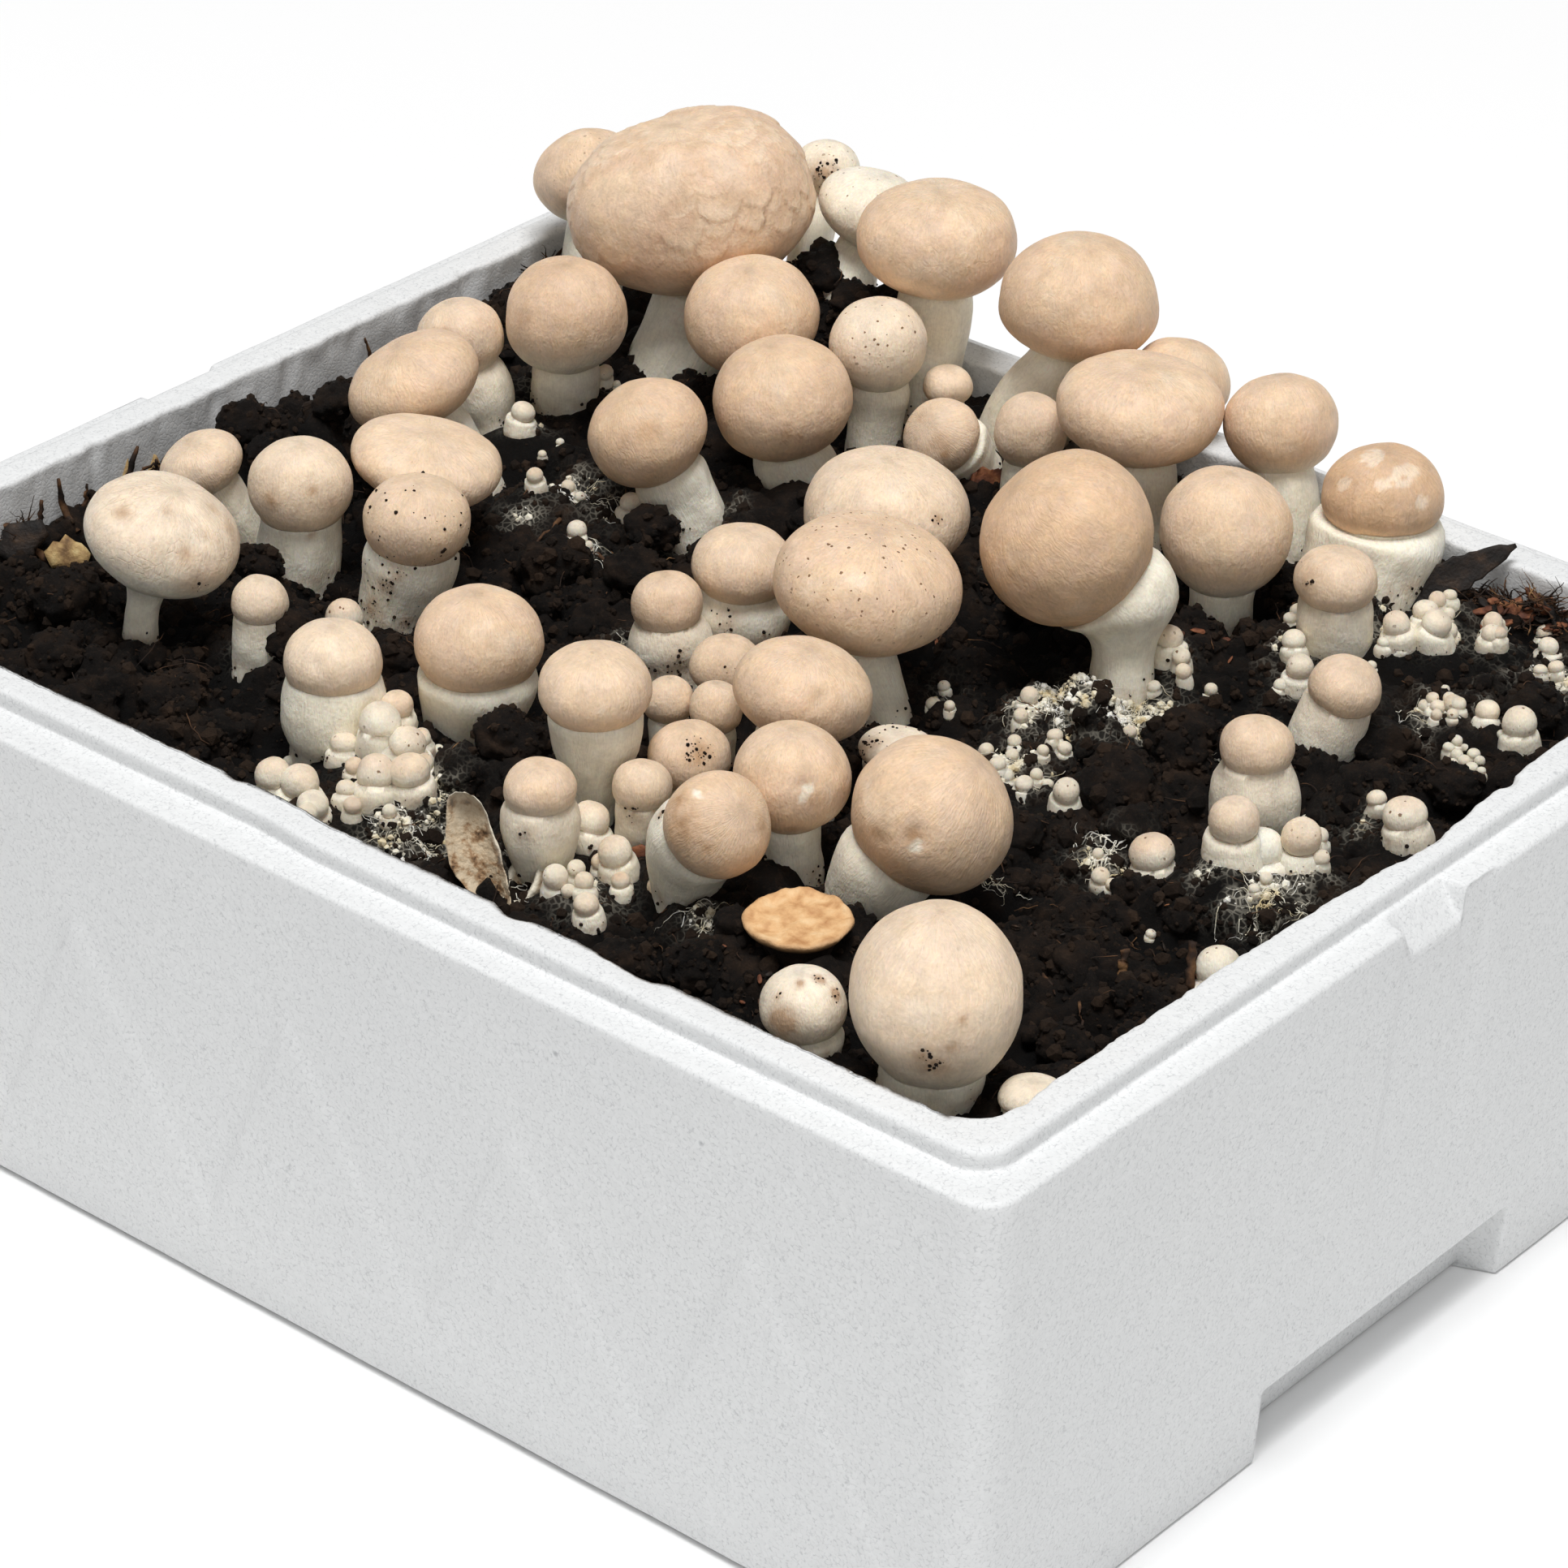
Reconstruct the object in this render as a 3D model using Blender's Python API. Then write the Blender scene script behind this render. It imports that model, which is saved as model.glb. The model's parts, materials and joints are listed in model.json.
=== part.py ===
# Button mushroom grow kit: a moulded foam box of casing soil with its first flush of mushrooms.
# Metres, +Z up. The origin is the middle of the box's footprint, on the surface it stands on.
# +X runs along the long side of the box. Sizes below are in millimetres until MM turns them.

import math

import bmesh
import bpy
from mathutils import Vector, noise

MM = 0.001
GAP = 0.3  # left between two pieces that touch

# The box, as half sizes along X and Y
BOX_HEIGHT_TO_LEDGE = 131.8
BOX_TOP = 136.4
FOOT_HALF = (192.6, 154.2)
LEDGE_HALF = (200.0, 161.6)
LIP_OUTER_HALF = (191.4, 152.8)
LIP_INNER_HALF = (182.0, 142.5)
LIP_TAPER = 0.4  # the lip is this much narrower at its top, outside
BED_FLOOR_HALF = (178.0, 138.5)
BED_FLOOR = 18.0
OUTER_CORNER = 9.0
INNER_CORNER = 13.0
CORNER_STEPS = 4
EDGE_ROUND = 1.0
CUTTER_MARGIN = 6.0  # how far a cutter reaches past the face that it cuts

# Cuts in the two short walls
LID_NOTCH_HALF_WIDTH = 13.0
LID_NOTCH_DEPTH = 10.5
LID_NOTCH_REACH = 7.5
LID_NOTCH_LONG_SLOPE = 5.0  # how far the notch's two ends lean in on the way down
LID_NOTCH_SHORT_SLOPE = 1.0
HAND_RECESS_HALF_WIDTH = 50.0
HAND_RECESS_HEIGHT = 20.5
HAND_RECESS_DEPTH = 10.0
HAND_RECESS_SHIFT = 4.0
HAND_RECESS_END_LEAN = 2.0  # each end leans in by this over the recess's depth

# Zigzag relief on the two long walls
ZIGZAG_PITCH = 69.2
ZIGZAG_FIRST_PEAK = -143.6
ZIGZAG_PEAKS = 5
ZIGZAG_RISE = 31.0  # run of the rising stroke; the falling stroke takes the rest of the pitch
ZIGZAG_HIGH = 91.5
ZIGZAG_LOW = 21.5
ZIGZAG_RAISED = 1.2
ZIGZAG_BURIED = 4.0  # how far the panel reaches into the wall
ZIGZAG_PANEL_FOOT = 1.5
ZIGZAG_PEAK_HALF = 2.5  # the peaks are cut flat
ZIGZAG_PEAK_CUT = 1.5

# The bed of soil: it climbs towards the back wall
SOIL_FRONT = 120.0
SOIL_BACK = 128.0
SOIL_CLIMB_FROM = -20.0
SOIL_CLIMB_TO = 135.0
SOIL_CELLS = (22, 18)
SOIL_ROUGH = 2.2
SOIL_ROUGH_SIZE = 34.0
SOIL_CORNER = 14.0
CLODS = [  # x, y, radius, height
    (-84, 138, 21, 22),
    (-10, -88, 17, 8),
    (-96, -64, 12, 9),
    (-150, -112, 26, -3),
    (134, 132, 20, 3),
    (98, 116, 24, 6),
    (97, 110, 15, 5),
    (-90, -83, 13, 6),
    (-117, -46, 10, 5),
    (70, 100, 19, -3),
    (60, 66, 26, 2),
]

# Every mushroom: name; cap's middle x, y, z; cap radius, dome height, depth of its underside;
# stem foot x, y; stem radius below the cap and at the foot; lean of the cap's axis as x, y, z,
# or None where it follows the stem
MUSHROOMS = [
    ("mushroom_01", (-121, 117, 166), (32.5, 25, 21), (-121, 107), (13, 14), (-0.18, -0.15, 1)),
    ("mushroom_02", (-170, 130, 155), (15.6, 14, 12), (-161, 122), (7, 8), None),
    ("mushroom_03", (-109, 157, 167), (9.3, 9, 7), (-100, 137), (5, 5.5), (-0.1, 0.4, 1)),
    ("mushroom_04", (-86, 149, 165), (15.5, 11, 9), (-84, 137), (6, 6.5), (0.2, 0.3, 1)),
    ("mushroom_05", (-53, 135, 171), (21.2, 15.5, 13), (-54, 130), (9, 9.5), (0, 0, 1)),
    ("mushroom_06", (-8, 137, 166.5), (20.3, 18.5, 13), (-23, 130), (9, 10.5), (0.05, 0, 1)),
    ("mushroom_07", (19, 146, 150.5), (13.2, 11, 9), (18, 127), (5, 5.5), (0.1, 0.3, 1)),
    ("mushroom_08", (29, 114, 158), (21, 11.5, 13), (33, 112), (9, 9.5), (0, 0, 1)),
    ("mushroom_09", (57, 137, 155), (14.5, 12, 14), (66, 131.5), (7.8, 8.6), None),
    ("mushroom_10", (94, 129, 150), (15.3, 12.5, 11), (94, 123), (14, 16.5), (0, 0, 1)),
    ("mushroom_11", (105, 94, 144), (10.2, 8.5, 8), (106, 95), (8.5, 7.5), (0, 0, 1)),
    ("mushroom_12", (-84, 97, 153), (17.6, 15.5, 14), (-86, 102), (8, 9), None),
    ("mushroom_13", (-123, 68, 151), (16.2, 15.5, 15), (-128, 73), (8, 9), (0.1, -0.1, 1)),
    ("mushroom_14", (-145, 51, 143), (11.6, 11, 10), (-139, 54), (7, 8), None),
    ("mushroom_15", (-133, 20, 146), (18, 11, 11), (-119, 29), (8, 9), (-0.32, -0.27, 1)),
    ("mushroom_16", (-104, -6, 143), (19, 8.5, 9), (-104, -2), (8, 9), (0.16, 0.1, 1)),
    ("mushroom_17", (-82, -33, 144), (13.4, 11, 11), (-87, -35), (10.5, 10.5), (0.1, 0, 1)),
    ("mushroom_18", (-149, -41, 140), (11, 7, 8), (-142, -33), (5.5, 6.5), None),
    ("mushroom_19", (-119, -36, 142), (13, 12.5, 12), (-121, -37), (9.5, 11), (0, 0, 1)),
    ("mushroom_20", (-120, -83, 146), (19.5, 13, 13), (-125, -87), (5, 4.6), (0.25, 0.2, 1)),
    ("mushroom_21", (-90, -80, 137), (7.1, 6.5, 6), (-90, -81), (5.8, 6), (0, 0, 1)),
    ("mushroom_22", (173, -113, 125), (7.6, 4.5, 3), (173, -113), (6, 6), (0, 0, 1)),
    ("mushroom_23", (-53, -93, 140), (11.8, 9.5, 9), (-54, -95), (10.8, 12.3), (0, 0, 1)),
    ("mushroom_24", (-31, -66, 142), (15.4, 13, 12), (-34, -69), (13.5, 11), (0, 0, 1)),
    ("mushroom_25", (15, -76, 151), (13.6, 10, 9), (15, -78), (11, 7), (0, 0, 1)),
    ("mushroom_26", (24, -105, 140), (8.5, 7, 7), (24, -104), (7.4, 6.5), (0, 0, 1)),
    ("mushroom_27", (-71, 41, 144), (15.6, 13.5, 13), (-60, 48), (8.5, 9.5), (-0.4, -0.3, 1)),
    ("mushroom_28", (-56, 76, 146), (18.3, 15.5, 15), (-49, 80), (9, 11), (-0.1, -0.15, 1)),
    ("mushroom_29", (-51, 109, 152), (12.8, 11.5, 13), (-50, 107), (7, 7.5), (0, 0, 1)),
    ("mushroom_30", (-38, 122, 139), (6.6, 5.5, 5), (-38, 121), (4.5, 4.5), (0, 0, 1)),
    ("mushroom_31", (-22, 100, 138), (10.2, 8.5, 7), (-17, 111), (6.5, 7), (-0.1, -0.7, 0.7)),
    ("mushroom_32", (0, 108, 144), (9.2, 10, 10), (0, 107), (6, 6.5), (0, 0, 1)),
    ("mushroom_33", (1, 48, 144), (20.5, 14.5, 14), (2, 50), (10, 11), (0, 0, 1)),
    ("mushroom_34", (29, 7, 150), (22.6, 14.5, 15), (37, 6), (8.5, 8), (0.15, 0.1, 1)),
    ("mushroom_35", (58, 47, 157), (21.8, 20, 20), (73, 51), (13, 8), (-0.68, -0.56, 1)),
    ("mushroom_36", (69, 98, 144), (16.6, 15, 17), (69, 98), (8, 8), (0, 0, 1)),
    ("mushroom_37", (-12, 9, 140), (12.6, 9.5, 9), (-11, 9), (10.5, 11), (0, 0, 1)),
    ("mushroom_38", (-16, -15, 137), (8.8, 8.5, 8), (-14, -14), (7.5, 7), (-0.1, 0, 1)),
    ("mushroom_39", (9, -22, 132), (9, 7.5, 6), (9, -22), (5, 5), (0, 0, 1)),
    ("mushroom_40", (46, -38, 146), (16.2, 11, 11), (46, -37), (8, 9), (0.15, 0.1, 1)),
    ("mushroom_41", (23, -42, 134), (6.4, 7, 6), (23, -42), (4.5, 4.5), (0, 0, 1)),
    ("mushroom_42", (10, -44, 132), (6.1, 6.5, 5), (10, -44), (4.5, 4.5), (0, 0, 1)),
    ("mushroom_43", (31, -61, 132), (9.8, 8.5, 7), (31, -61), (6, 6), (0, 0, 1)),
    ("mushroom_44", (66, -66, 142), (13.8, 13, 12), (67, -65), (7, 7.5), (0, 0, 1)),
    ("mushroom_45", (34, -81, 134), (7, 6.5, 6), (33, -80), (5.5, 5.5), (0, 0, 1)),
    ("mushroom_46", (67, -93, 142), (12.4, 11, 11), (54, -89), (10.4, 8), (0.7, -0.07, 0.7)),
    ("mushroom_47", (101, -58, 143), (18.7, 17, 17), (87, -65), (10, 10), (0.6, 0.45, 1)),
    ("mushroom_48", (150, -118, 143.5), (18.8, 21, 20.5), (149, -119), (11, 11.5), (0, 0, 1)),
    ("mushroom_49", (120, -126, 132), (9.6, 8.5, 8), (122, -125), (6, 6.5), (-0.1, -0.1, 1)),
    ("mushroom_50", (58, -17, 126), (9, 4.5, 3), (58, -17), (7, 7), (0, 0, 1)),
    ("mushroom_51", (132, 60, 138), (8.8, 8, 7), (126.5, 58), (7.5, 8.5), (0.25, 0.1, 1)),
    ("mushroom_52", (133, 23, 138), (8.8, 7.5, 7), (133, 25), (8.2, 10), (0, 0, 1)),
]
NARROWED_CAPS = {"mushroom_01": ((0.63, -0.78, 0), 0.84)}  # direction, and size that way
LARGE_CAP = 12.0  # a cap wider than this radius gets more sides
LARGE_SIDES = 12
SMALL_SIDES = 8
DOME_RINGS = (0, 32, 60)  # degrees up the dome
WIDEST_NECK = 0.92  # of the cap's radius
FOOT_CLEARANCE = 1.05  # of the foot's radius, where the soil under it is read
GROUND_RINGS = (0.35, 0.7, 1.0)
GROUND_STEPS = 16

# Clumps of buttons grown together on a pad of threads. The pad is its middle x, y, radius and
# height; each button is its middle x, y, height above the pad's foot, and radius.
CLUMPS = {
    "button_twins": {
        "pad": (151, 3, 7.5, 5),
        "buttons": [(145, -2, 12, 6.2), (157, 8, 8, 4.8)],
    },
    "pin_clump_left": {
        "pad": (-28, -99, 14, 3),
        "buttons": [
            (-38, -87, 8, 4),
            (-35, -96, 8, 5),
            (-24, -109, 5, 4.6),
            (-18, -104, 6, 5),
            (-27, -95, 5, 4.5),
        ],
    },
    "pin_clump_front": {
        "pad": (-38, -121, 9, 2),
        "buttons": [(-45, -122, 3, 4.4), (-38, -120, 3, 4.6), (-30, -124, 3, 3.8)],
    },
    "pin_clump_right": {
        "pad": (122, 106, 9, 3),
        "buttons": [(119, 101, 6, 3.4), (126, 108, 6, 3.8), (120, 112, 6, 3.2)],
    },
}
PIN_SIDES = 8
PIN_RINGS = (-25, 15, 50)  # degrees up the ball
PIN_FOOT = 0.8  # of the ball's radius
PIN_LOWEST = 0.5  # of its radius, how low a button's middle may lie over the soil
PAD_SIDES = 12
PAD_TOP = 0.85  # of the pad's radius
STAGGER = 0.05  # between the feet of joined buttons, so that no two lie in one plane

# The cut stub and the old stem
STUB = {
    "x": 93,
    "y": -95,
    "top": 130.2,
    "radius": 11.7,
    "foot": 8.0,
    "sides": 14,
    "flare": 4.5,  # height of the part that widens to the cut
    "rim": 1.0,
    "chamfer": 0.3,
}
OLD_STEM = {"x": 12, "y": -116, "radius": 7.5, "tip": 0.85, "top": 130, "lean": (-7, 5, 14), "sides": 10}


def clear_scene():
    for obj in list(bpy.data.objects):
        bpy.data.objects.remove(obj, do_unlink=True)


def finish_material(name, colour, roughness):
    material = bpy.data.materials.new(name)
    material.use_nodes = True
    shader = material.node_tree.nodes["Principled BSDF"]
    shader.inputs["Base Color"].default_value = (*colour, 1)
    shader.inputs["Roughness"].default_value = roughness
    return material


def object_from(name, mesh_data, material, smooth_angle=math.radians(40)):
    mesh = bpy.data.meshes.new(name)
    mesh_data.normal_update()
    mesh_data.to_mesh(mesh)
    mesh_data.free()
    mesh.materials.append(material)
    mesh.shade_smooth()
    mesh.set_sharp_from_angle(angle=smooth_angle)
    obj = bpy.data.objects.new(name, mesh)
    bpy.context.scene.collection.objects.link(obj)
    return obj


def join_rings(mesh_data, rings, closed_start=True, closed_end=True):
    # The rings are lists of points with the same count, from the bottom up, each anticlockwise
    # seen from above.
    rows = [[mesh_data.verts.new(Vector(p) * MM) for p in ring] for ring in rings]
    for low, high in zip(rows, rows[1:]):
        count = max(len(low), len(high))
        for i in range(count):
            j = (i + 1) % count
            if len(high) == 1:
                mesh_data.faces.new((low[i], low[j], high[0]))
            else:
                mesh_data.faces.new((low[i], low[j], high[j], high[i]))
    if closed_start:
        mesh_data.faces.new(list(reversed(rows[0])))
    if closed_end and len(rows[-1]) > 1:
        mesh_data.faces.new(rows[-1])
    return rows


def rounded_rectangle(half, corner, z, steps=CORNER_STEPS):
    points = []
    for quarter in range(4):
        sign_x = 1 if quarter in (0, 3) else -1
        sign_y = 1 if quarter in (0, 1) else -1
        middle = (sign_x * (half[0] - corner), sign_y * (half[1] - corner))
        for step in range(steps + 1):
            angle = math.pi / 2 * (quarter + step / steps)
            points.append((middle[0] + corner * math.cos(angle), middle[1] + corner * math.sin(angle), z))
    return points


def zigzag_points():
    # The line starts and ends on the low level, clear of the rounded corners.
    points = []
    for peak in range(ZIGZAG_PEAKS):
        peak_x = ZIGZAG_FIRST_PEAK + peak * ZIGZAG_PITCH
        points.append((peak_x - ZIGZAG_RISE, ZIGZAG_LOW))
        points.append((peak_x - ZIGZAG_PEAK_HALF, ZIGZAG_HIGH - ZIGZAG_PEAK_CUT))
        points.append((peak_x + ZIGZAG_PEAK_HALF, ZIGZAG_HIGH - ZIGZAG_PEAK_CUT))
    points.append((peak_x + ZIGZAG_PITCH - ZIGZAG_RISE, ZIGZAG_LOW))
    return points


def outer_half_y(z):
    share = z / BOX_HEIGHT_TO_LEDGE
    return FOOT_HALF[1] + (LEDGE_HALF[1] - FOOT_HALF[1]) * share


def relief_panel(side):
    # One raised panel under the zigzag, from the foot of the long wall up; side is -1 or +1.
    line = [(x, z) for x, z in zigzag_points() if abs(x) < FOOT_HALF[0] - OUTER_CORNER]
    outline = [(line[0][0], ZIGZAG_PANEL_FOOT)] + line + [(line[-1][0], ZIGZAG_PANEL_FOOT)]
    panel = bmesh.new()
    rows = []
    for raised in (-ZIGZAG_BURIED, ZIGZAG_RAISED):
        rows.append([(side * -x, side * (outer_half_y(z) + raised), z) for x, z in reversed(outline)])
    verts = [[panel.verts.new(Vector(p) * MM) for p in row] for row in rows]
    count = len(outline)
    for i in range(count):
        j = (i + 1) % count
        panel.faces.new((verts[0][i], verts[0][j], verts[1][j], verts[1][i]))
    panel.faces.new(list(reversed(verts[0])))
    panel.faces.new(verts[1])
    bmesh.ops.recalc_face_normals(panel, faces=panel.faces)
    return panel


def helper(name, mesh_data, material):
    obj = object_from(name, mesh_data, material)
    obj.hide_render = True
    obj.display_type = "WIRE"
    return obj


def use_boolean(target, other, operation):
    modifier = target.modifiers.new(other.name, "BOOLEAN")
    modifier.operation = operation
    modifier.object = other


def recess_cutter(side):
    # The hand hold at the foot of a short wall: its ends lean in a little towards the back of it.
    face = FOOT_HALF[0] + CUTTER_MARGIN
    back = FOOT_HALF[0] - HAND_RECESS_DEPTH
    wide = HAND_RECESS_HALF_WIDTH + HAND_RECESS_END_LEAN * CUTTER_MARGIN / HAND_RECESS_DEPTH
    narrow = HAND_RECESS_HALF_WIDTH - HAND_RECESS_END_LEAN
    shift = HAND_RECESS_SHIFT * side
    rings = []
    for z in (-CUTTER_MARGIN, HAND_RECESS_HEIGHT):
        corners = [(back, shift - narrow), (face, shift - wide), (face, shift + wide), (back, shift + narrow)]
        points = [(side * x, y, z) for x, y in corners]
        rings.append(points if side > 0 else points[::-1])
    cutter = bmesh.new()
    join_rings(cutter, rings)
    return cutter


def notch_cutter(side):
    # A scoop through the ledge where a finger lifts the lid.
    inner = LEDGE_HALF[0] - LID_NOTCH_REACH
    outer = LEDGE_HALF[0] + CUTTER_MARGIN
    slope = LID_NOTCH_DEPTH / LID_NOTCH_REACH
    low_outer = BOX_HEIGHT_TO_LEDGE - slope * (outer - inner)
    high = BOX_HEIGHT_TO_LEDGE + CUTTER_MARGIN
    cutter = bmesh.new()
    profile = [(inner, high), (inner, BOX_HEIGHT_TO_LEDGE), (outer, low_outer), (outer, high)]
    rings = []
    for end in (-1, 1):
        ring = []
        for x, z in profile:
            deep = max(BOX_HEIGHT_TO_LEDGE - z, 0) / LID_NOTCH_DEPTH
            lean = LID_NOTCH_LONG_SLOPE if end == -side else LID_NOTCH_SHORT_SLOPE
            ring.append((side * x, end * (LID_NOTCH_HALF_WIDTH - lean * deep), z))
        rings.append(ring)
    verts = [[cutter.verts.new(Vector(p) * MM) for p in ring] for ring in rings]
    for i in range(len(profile)):
        j = (i + 1) % len(profile)
        cutter.faces.new((verts[0][i], verts[0][j], verts[1][j], verts[1][i]))
    cutter.faces.new(list(reversed(verts[0])))
    cutter.faces.new(verts[1])
    bmesh.ops.recalc_face_normals(cutter, faces=cutter.faces)
    return cutter


def make_box():
    foam = finish_material("white foam", (0.84, 0.85, 0.86), 0.75)
    r = EDGE_ROUND
    shell = bmesh.new()
    rings = [
        rounded_rectangle(FOOT_HALF, OUTER_CORNER, 0),
        rounded_rectangle(LEDGE_HALF, OUTER_CORNER + 1, BOX_HEIGHT_TO_LEDGE - r),
        rounded_rectangle([h - r for h in LEDGE_HALF], OUTER_CORNER, BOX_HEIGHT_TO_LEDGE),
        rounded_rectangle(LIP_OUTER_HALF, OUTER_CORNER + 1, BOX_HEIGHT_TO_LEDGE),
        rounded_rectangle([h - LIP_TAPER for h in LIP_OUTER_HALF], OUTER_CORNER + 1, BOX_TOP - r),
        rounded_rectangle([h - LIP_TAPER - r for h in LIP_OUTER_HALF], OUTER_CORNER, BOX_TOP),
        rounded_rectangle([h + r for h in LIP_INNER_HALF], INNER_CORNER, BOX_TOP),
        rounded_rectangle(LIP_INNER_HALF, INNER_CORNER, BOX_TOP - r),
        rounded_rectangle(BED_FLOOR_HALF, INNER_CORNER, BED_FLOOR),
    ]
    join_rings(shell, rings)
    box = object_from("box", shell, foam, math.radians(30))
    for side, place in ((-1, "front"), (1, "back")):
        use_boolean(box, helper("relief_" + place, relief_panel(side), foam), "UNION")
    for side, place in ((-1, "left"), (1, "right")):
        use_boolean(box, helper("recess_cutter_" + place, recess_cutter(side), foam), "DIFFERENCE")
        use_boolean(box, helper("notch_cutter_" + place, notch_cutter(side), foam), "DIFFERENCE")
    return box


def smooth_step(value, low, high):
    share = min(max((value - low) / (high - low), 0), 1)
    return share * share * (3 - 2 * share)


def bed_half(z):
    share = (z - BED_FLOOR) / (BOX_TOP - EDGE_ROUND - BED_FLOOR)
    return [low + (high - low) * share for low, high in zip(BED_FLOOR_HALF, LIP_INNER_HALF)]


def soil_height(x, y):
    climb = smooth_step(y, SOIL_CLIMB_FROM, SOIL_CLIMB_TO)
    z = SOIL_FRONT + (SOIL_BACK - SOIL_FRONT) * climb
    z += SOIL_ROUGH * noise.noise(Vector((x / SOIL_ROUGH_SIZE, y / SOIL_ROUGH_SIZE, 3.7)))
    for clod_x, clod_y, radius, height in CLODS:
        away = math.hypot(x - clod_x, y - clod_y) / radius
        if away < 1:
            z += height * (1 - away * away)
    return z


def soil_grid():
    # Points of the soil's top, row by row; the outermost follow the walls and their rounded corners.
    half = [h - GAP for h in bed_half(SOIL_FRONT)]
    grid = []
    for row in range(SOIL_CELLS[1] + 1):
        line = []
        for column in range(SOIL_CELLS[0] + 1):
            x = half[0] * (2 * column / SOIL_CELLS[0] - 1)
            y = half[1] * (2 * row / SOIL_CELLS[1] - 1)
            over = Vector((abs(x) - half[0] + SOIL_CORNER, abs(y) - half[1] + SOIL_CORNER))
            if min(over) > 0 and over.length > SOIL_CORNER:
                over *= SOIL_CORNER / over.length
                x = math.copysign(half[0] - SOIL_CORNER + over.x, x)
                y = math.copysign(half[1] - SOIL_CORNER + over.y, y)
            line.append(Vector((x, y, soil_height(x, y))))
        grid.append(line)
    return grid


def make_soil(grid):
    soil = bmesh.new()
    top = [[soil.verts.new(p * MM) for p in line] for line in grid]
    for row, next_row in zip(top, top[1:]):
        for i in range(len(row) - 1):
            soil.faces.new((row[i], row[i + 1], next_row[i + 1]))
            soil.faces.new((row[i], next_row[i + 1], next_row[i]))
    border = top[0] + [row[-1] for row in top[1:]]
    border += top[-1][-2::-1]
    border += [row[0] for row in reversed(top[1:-1])]
    floor_half = [h - GAP for h in BED_FLOOR_HALF]
    top_half = [h - GAP for h in bed_half(SOIL_FRONT)]
    bottom = []
    for vert in border:
        x = vert.co.x * floor_half[0] / top_half[0]
        y = vert.co.y * floor_half[1] / top_half[1]
        bottom.append(soil.verts.new((x, y, (BED_FLOOR + GAP) * MM)))
    for i in range(len(border)):
        j = (i + 1) % len(border)
        soil.faces.new((bottom[i], bottom[j], border[j], border[i]))
    soil.faces.new(list(reversed(bottom)))
    return object_from("soil", soil, finish_material("casing soil", (0.03, 0.022, 0.017), 0.95))


def ground_at(grid, x, y):
    # Height of the faceted soil at x, y.
    half = [h - GAP for h in bed_half(SOIL_FRONT)]
    across = (x / half[0] + 1) / 2 * SOIL_CELLS[0]
    along = (y / half[1] + 1) / 2 * SOIL_CELLS[1]
    column = min(max(int(across), 0), SOIL_CELLS[0] - 1)
    row = min(max(int(along), 0), SOIL_CELLS[1] - 1)
    u, v = across - column, along - row
    here, right = grid[row][column].z, grid[row][column + 1].z
    back, far = grid[row + 1][column].z, grid[row + 1][column + 1].z
    if u > v:
        return here + u * (right - here) + v * (far - right)
    return here + v * (back - here) + u * (far - back)


def ground_under(grid, x, y, radius):
    # The highest soil under a foot, and the small gap above it.
    highest = ground_at(grid, x, y)
    for ring in GROUND_RINGS:
        for step in range(GROUND_STEPS):
            angle = step * 2 * math.pi / GROUND_STEPS
            over_x = x + ring * radius * math.cos(angle)
            over_y = y + ring * radius * math.sin(angle)
            highest = max(highest, ground_at(grid, over_x, over_y))
    for line in grid:
        for point in line:
            if math.hypot(point.x - x, point.y - y) <= radius:
                highest = max(highest, point.z)
    return highest + GAP


def circle(middle, radius, axis, sides):
    # A ring of points square to the axis, whose polygon holds about the area of the circle.
    turn = Vector((0, 0, 1)).rotation_difference(axis)
    grown = radius * math.sqrt(2 * math.pi / sides / math.sin(2 * math.pi / sides))
    points = []
    for i in range(sides):
        angle = 2 * math.pi * i / sides
        points.append(middle + turn @ Vector((grown * math.cos(angle), grown * math.sin(angle), 0)))
    return points


def narrowed(points, middle, direction, size):
    along = Vector(direction).normalized()
    return [p + along * (along.dot(p - middle) * (size - 1)) for p in points]


def mushroom_rings(cap, sizes, foot, stem, lean, ground, sides):
    radius, dome, under = sizes
    neck, base = stem
    cap = Vector(cap)
    foot = Vector((foot[0], foot[1], ground))
    axis = Vector(lean if lean else cap - foot).normalized()
    up = Vector((0, 0, 1))
    neck = min(neck, radius * WIDEST_NECK)
    start = math.acos(neck / radius)
    top_of_stem = cap - axis * under * math.sin(start)
    rings = [circle(foot, base, up, sides)]
    middle = foot.lerp(top_of_stem, 0.5)
    rings.append(circle(middle, (neck + base) / 2, (axis + up).normalized(), sides))
    for angle in (start, start / 2):
        rings.append(circle(cap - axis * under * math.sin(angle), radius * math.cos(angle), axis, sides))
    for degrees in DOME_RINGS:
        angle = math.radians(degrees)
        rings.append(circle(cap + axis * dome * math.sin(angle), radius * math.cos(angle), axis, sides))
    rings.append([cap + axis * dome])
    return rings


def make_mushroom(name, cap, sizes, foot, stem, lean, grid, material):
    ground = ground_under(grid, *foot, stem[1] * FOOT_CLEARANCE)
    sides = LARGE_SIDES if sizes[0] > LARGE_CAP else SMALL_SIDES
    rings = mushroom_rings(cap, sizes, foot, stem, lean, ground, sides)
    if name in NARROWED_CAPS:
        rings[3:] = [narrowed(ring, Vector(cap), *NARROWED_CAPS[name]) for ring in rings[3:]]
    mushroom = bmesh.new()
    join_rings(mushroom, rings)
    return object_from(name, mushroom, material, math.radians(60))


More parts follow.
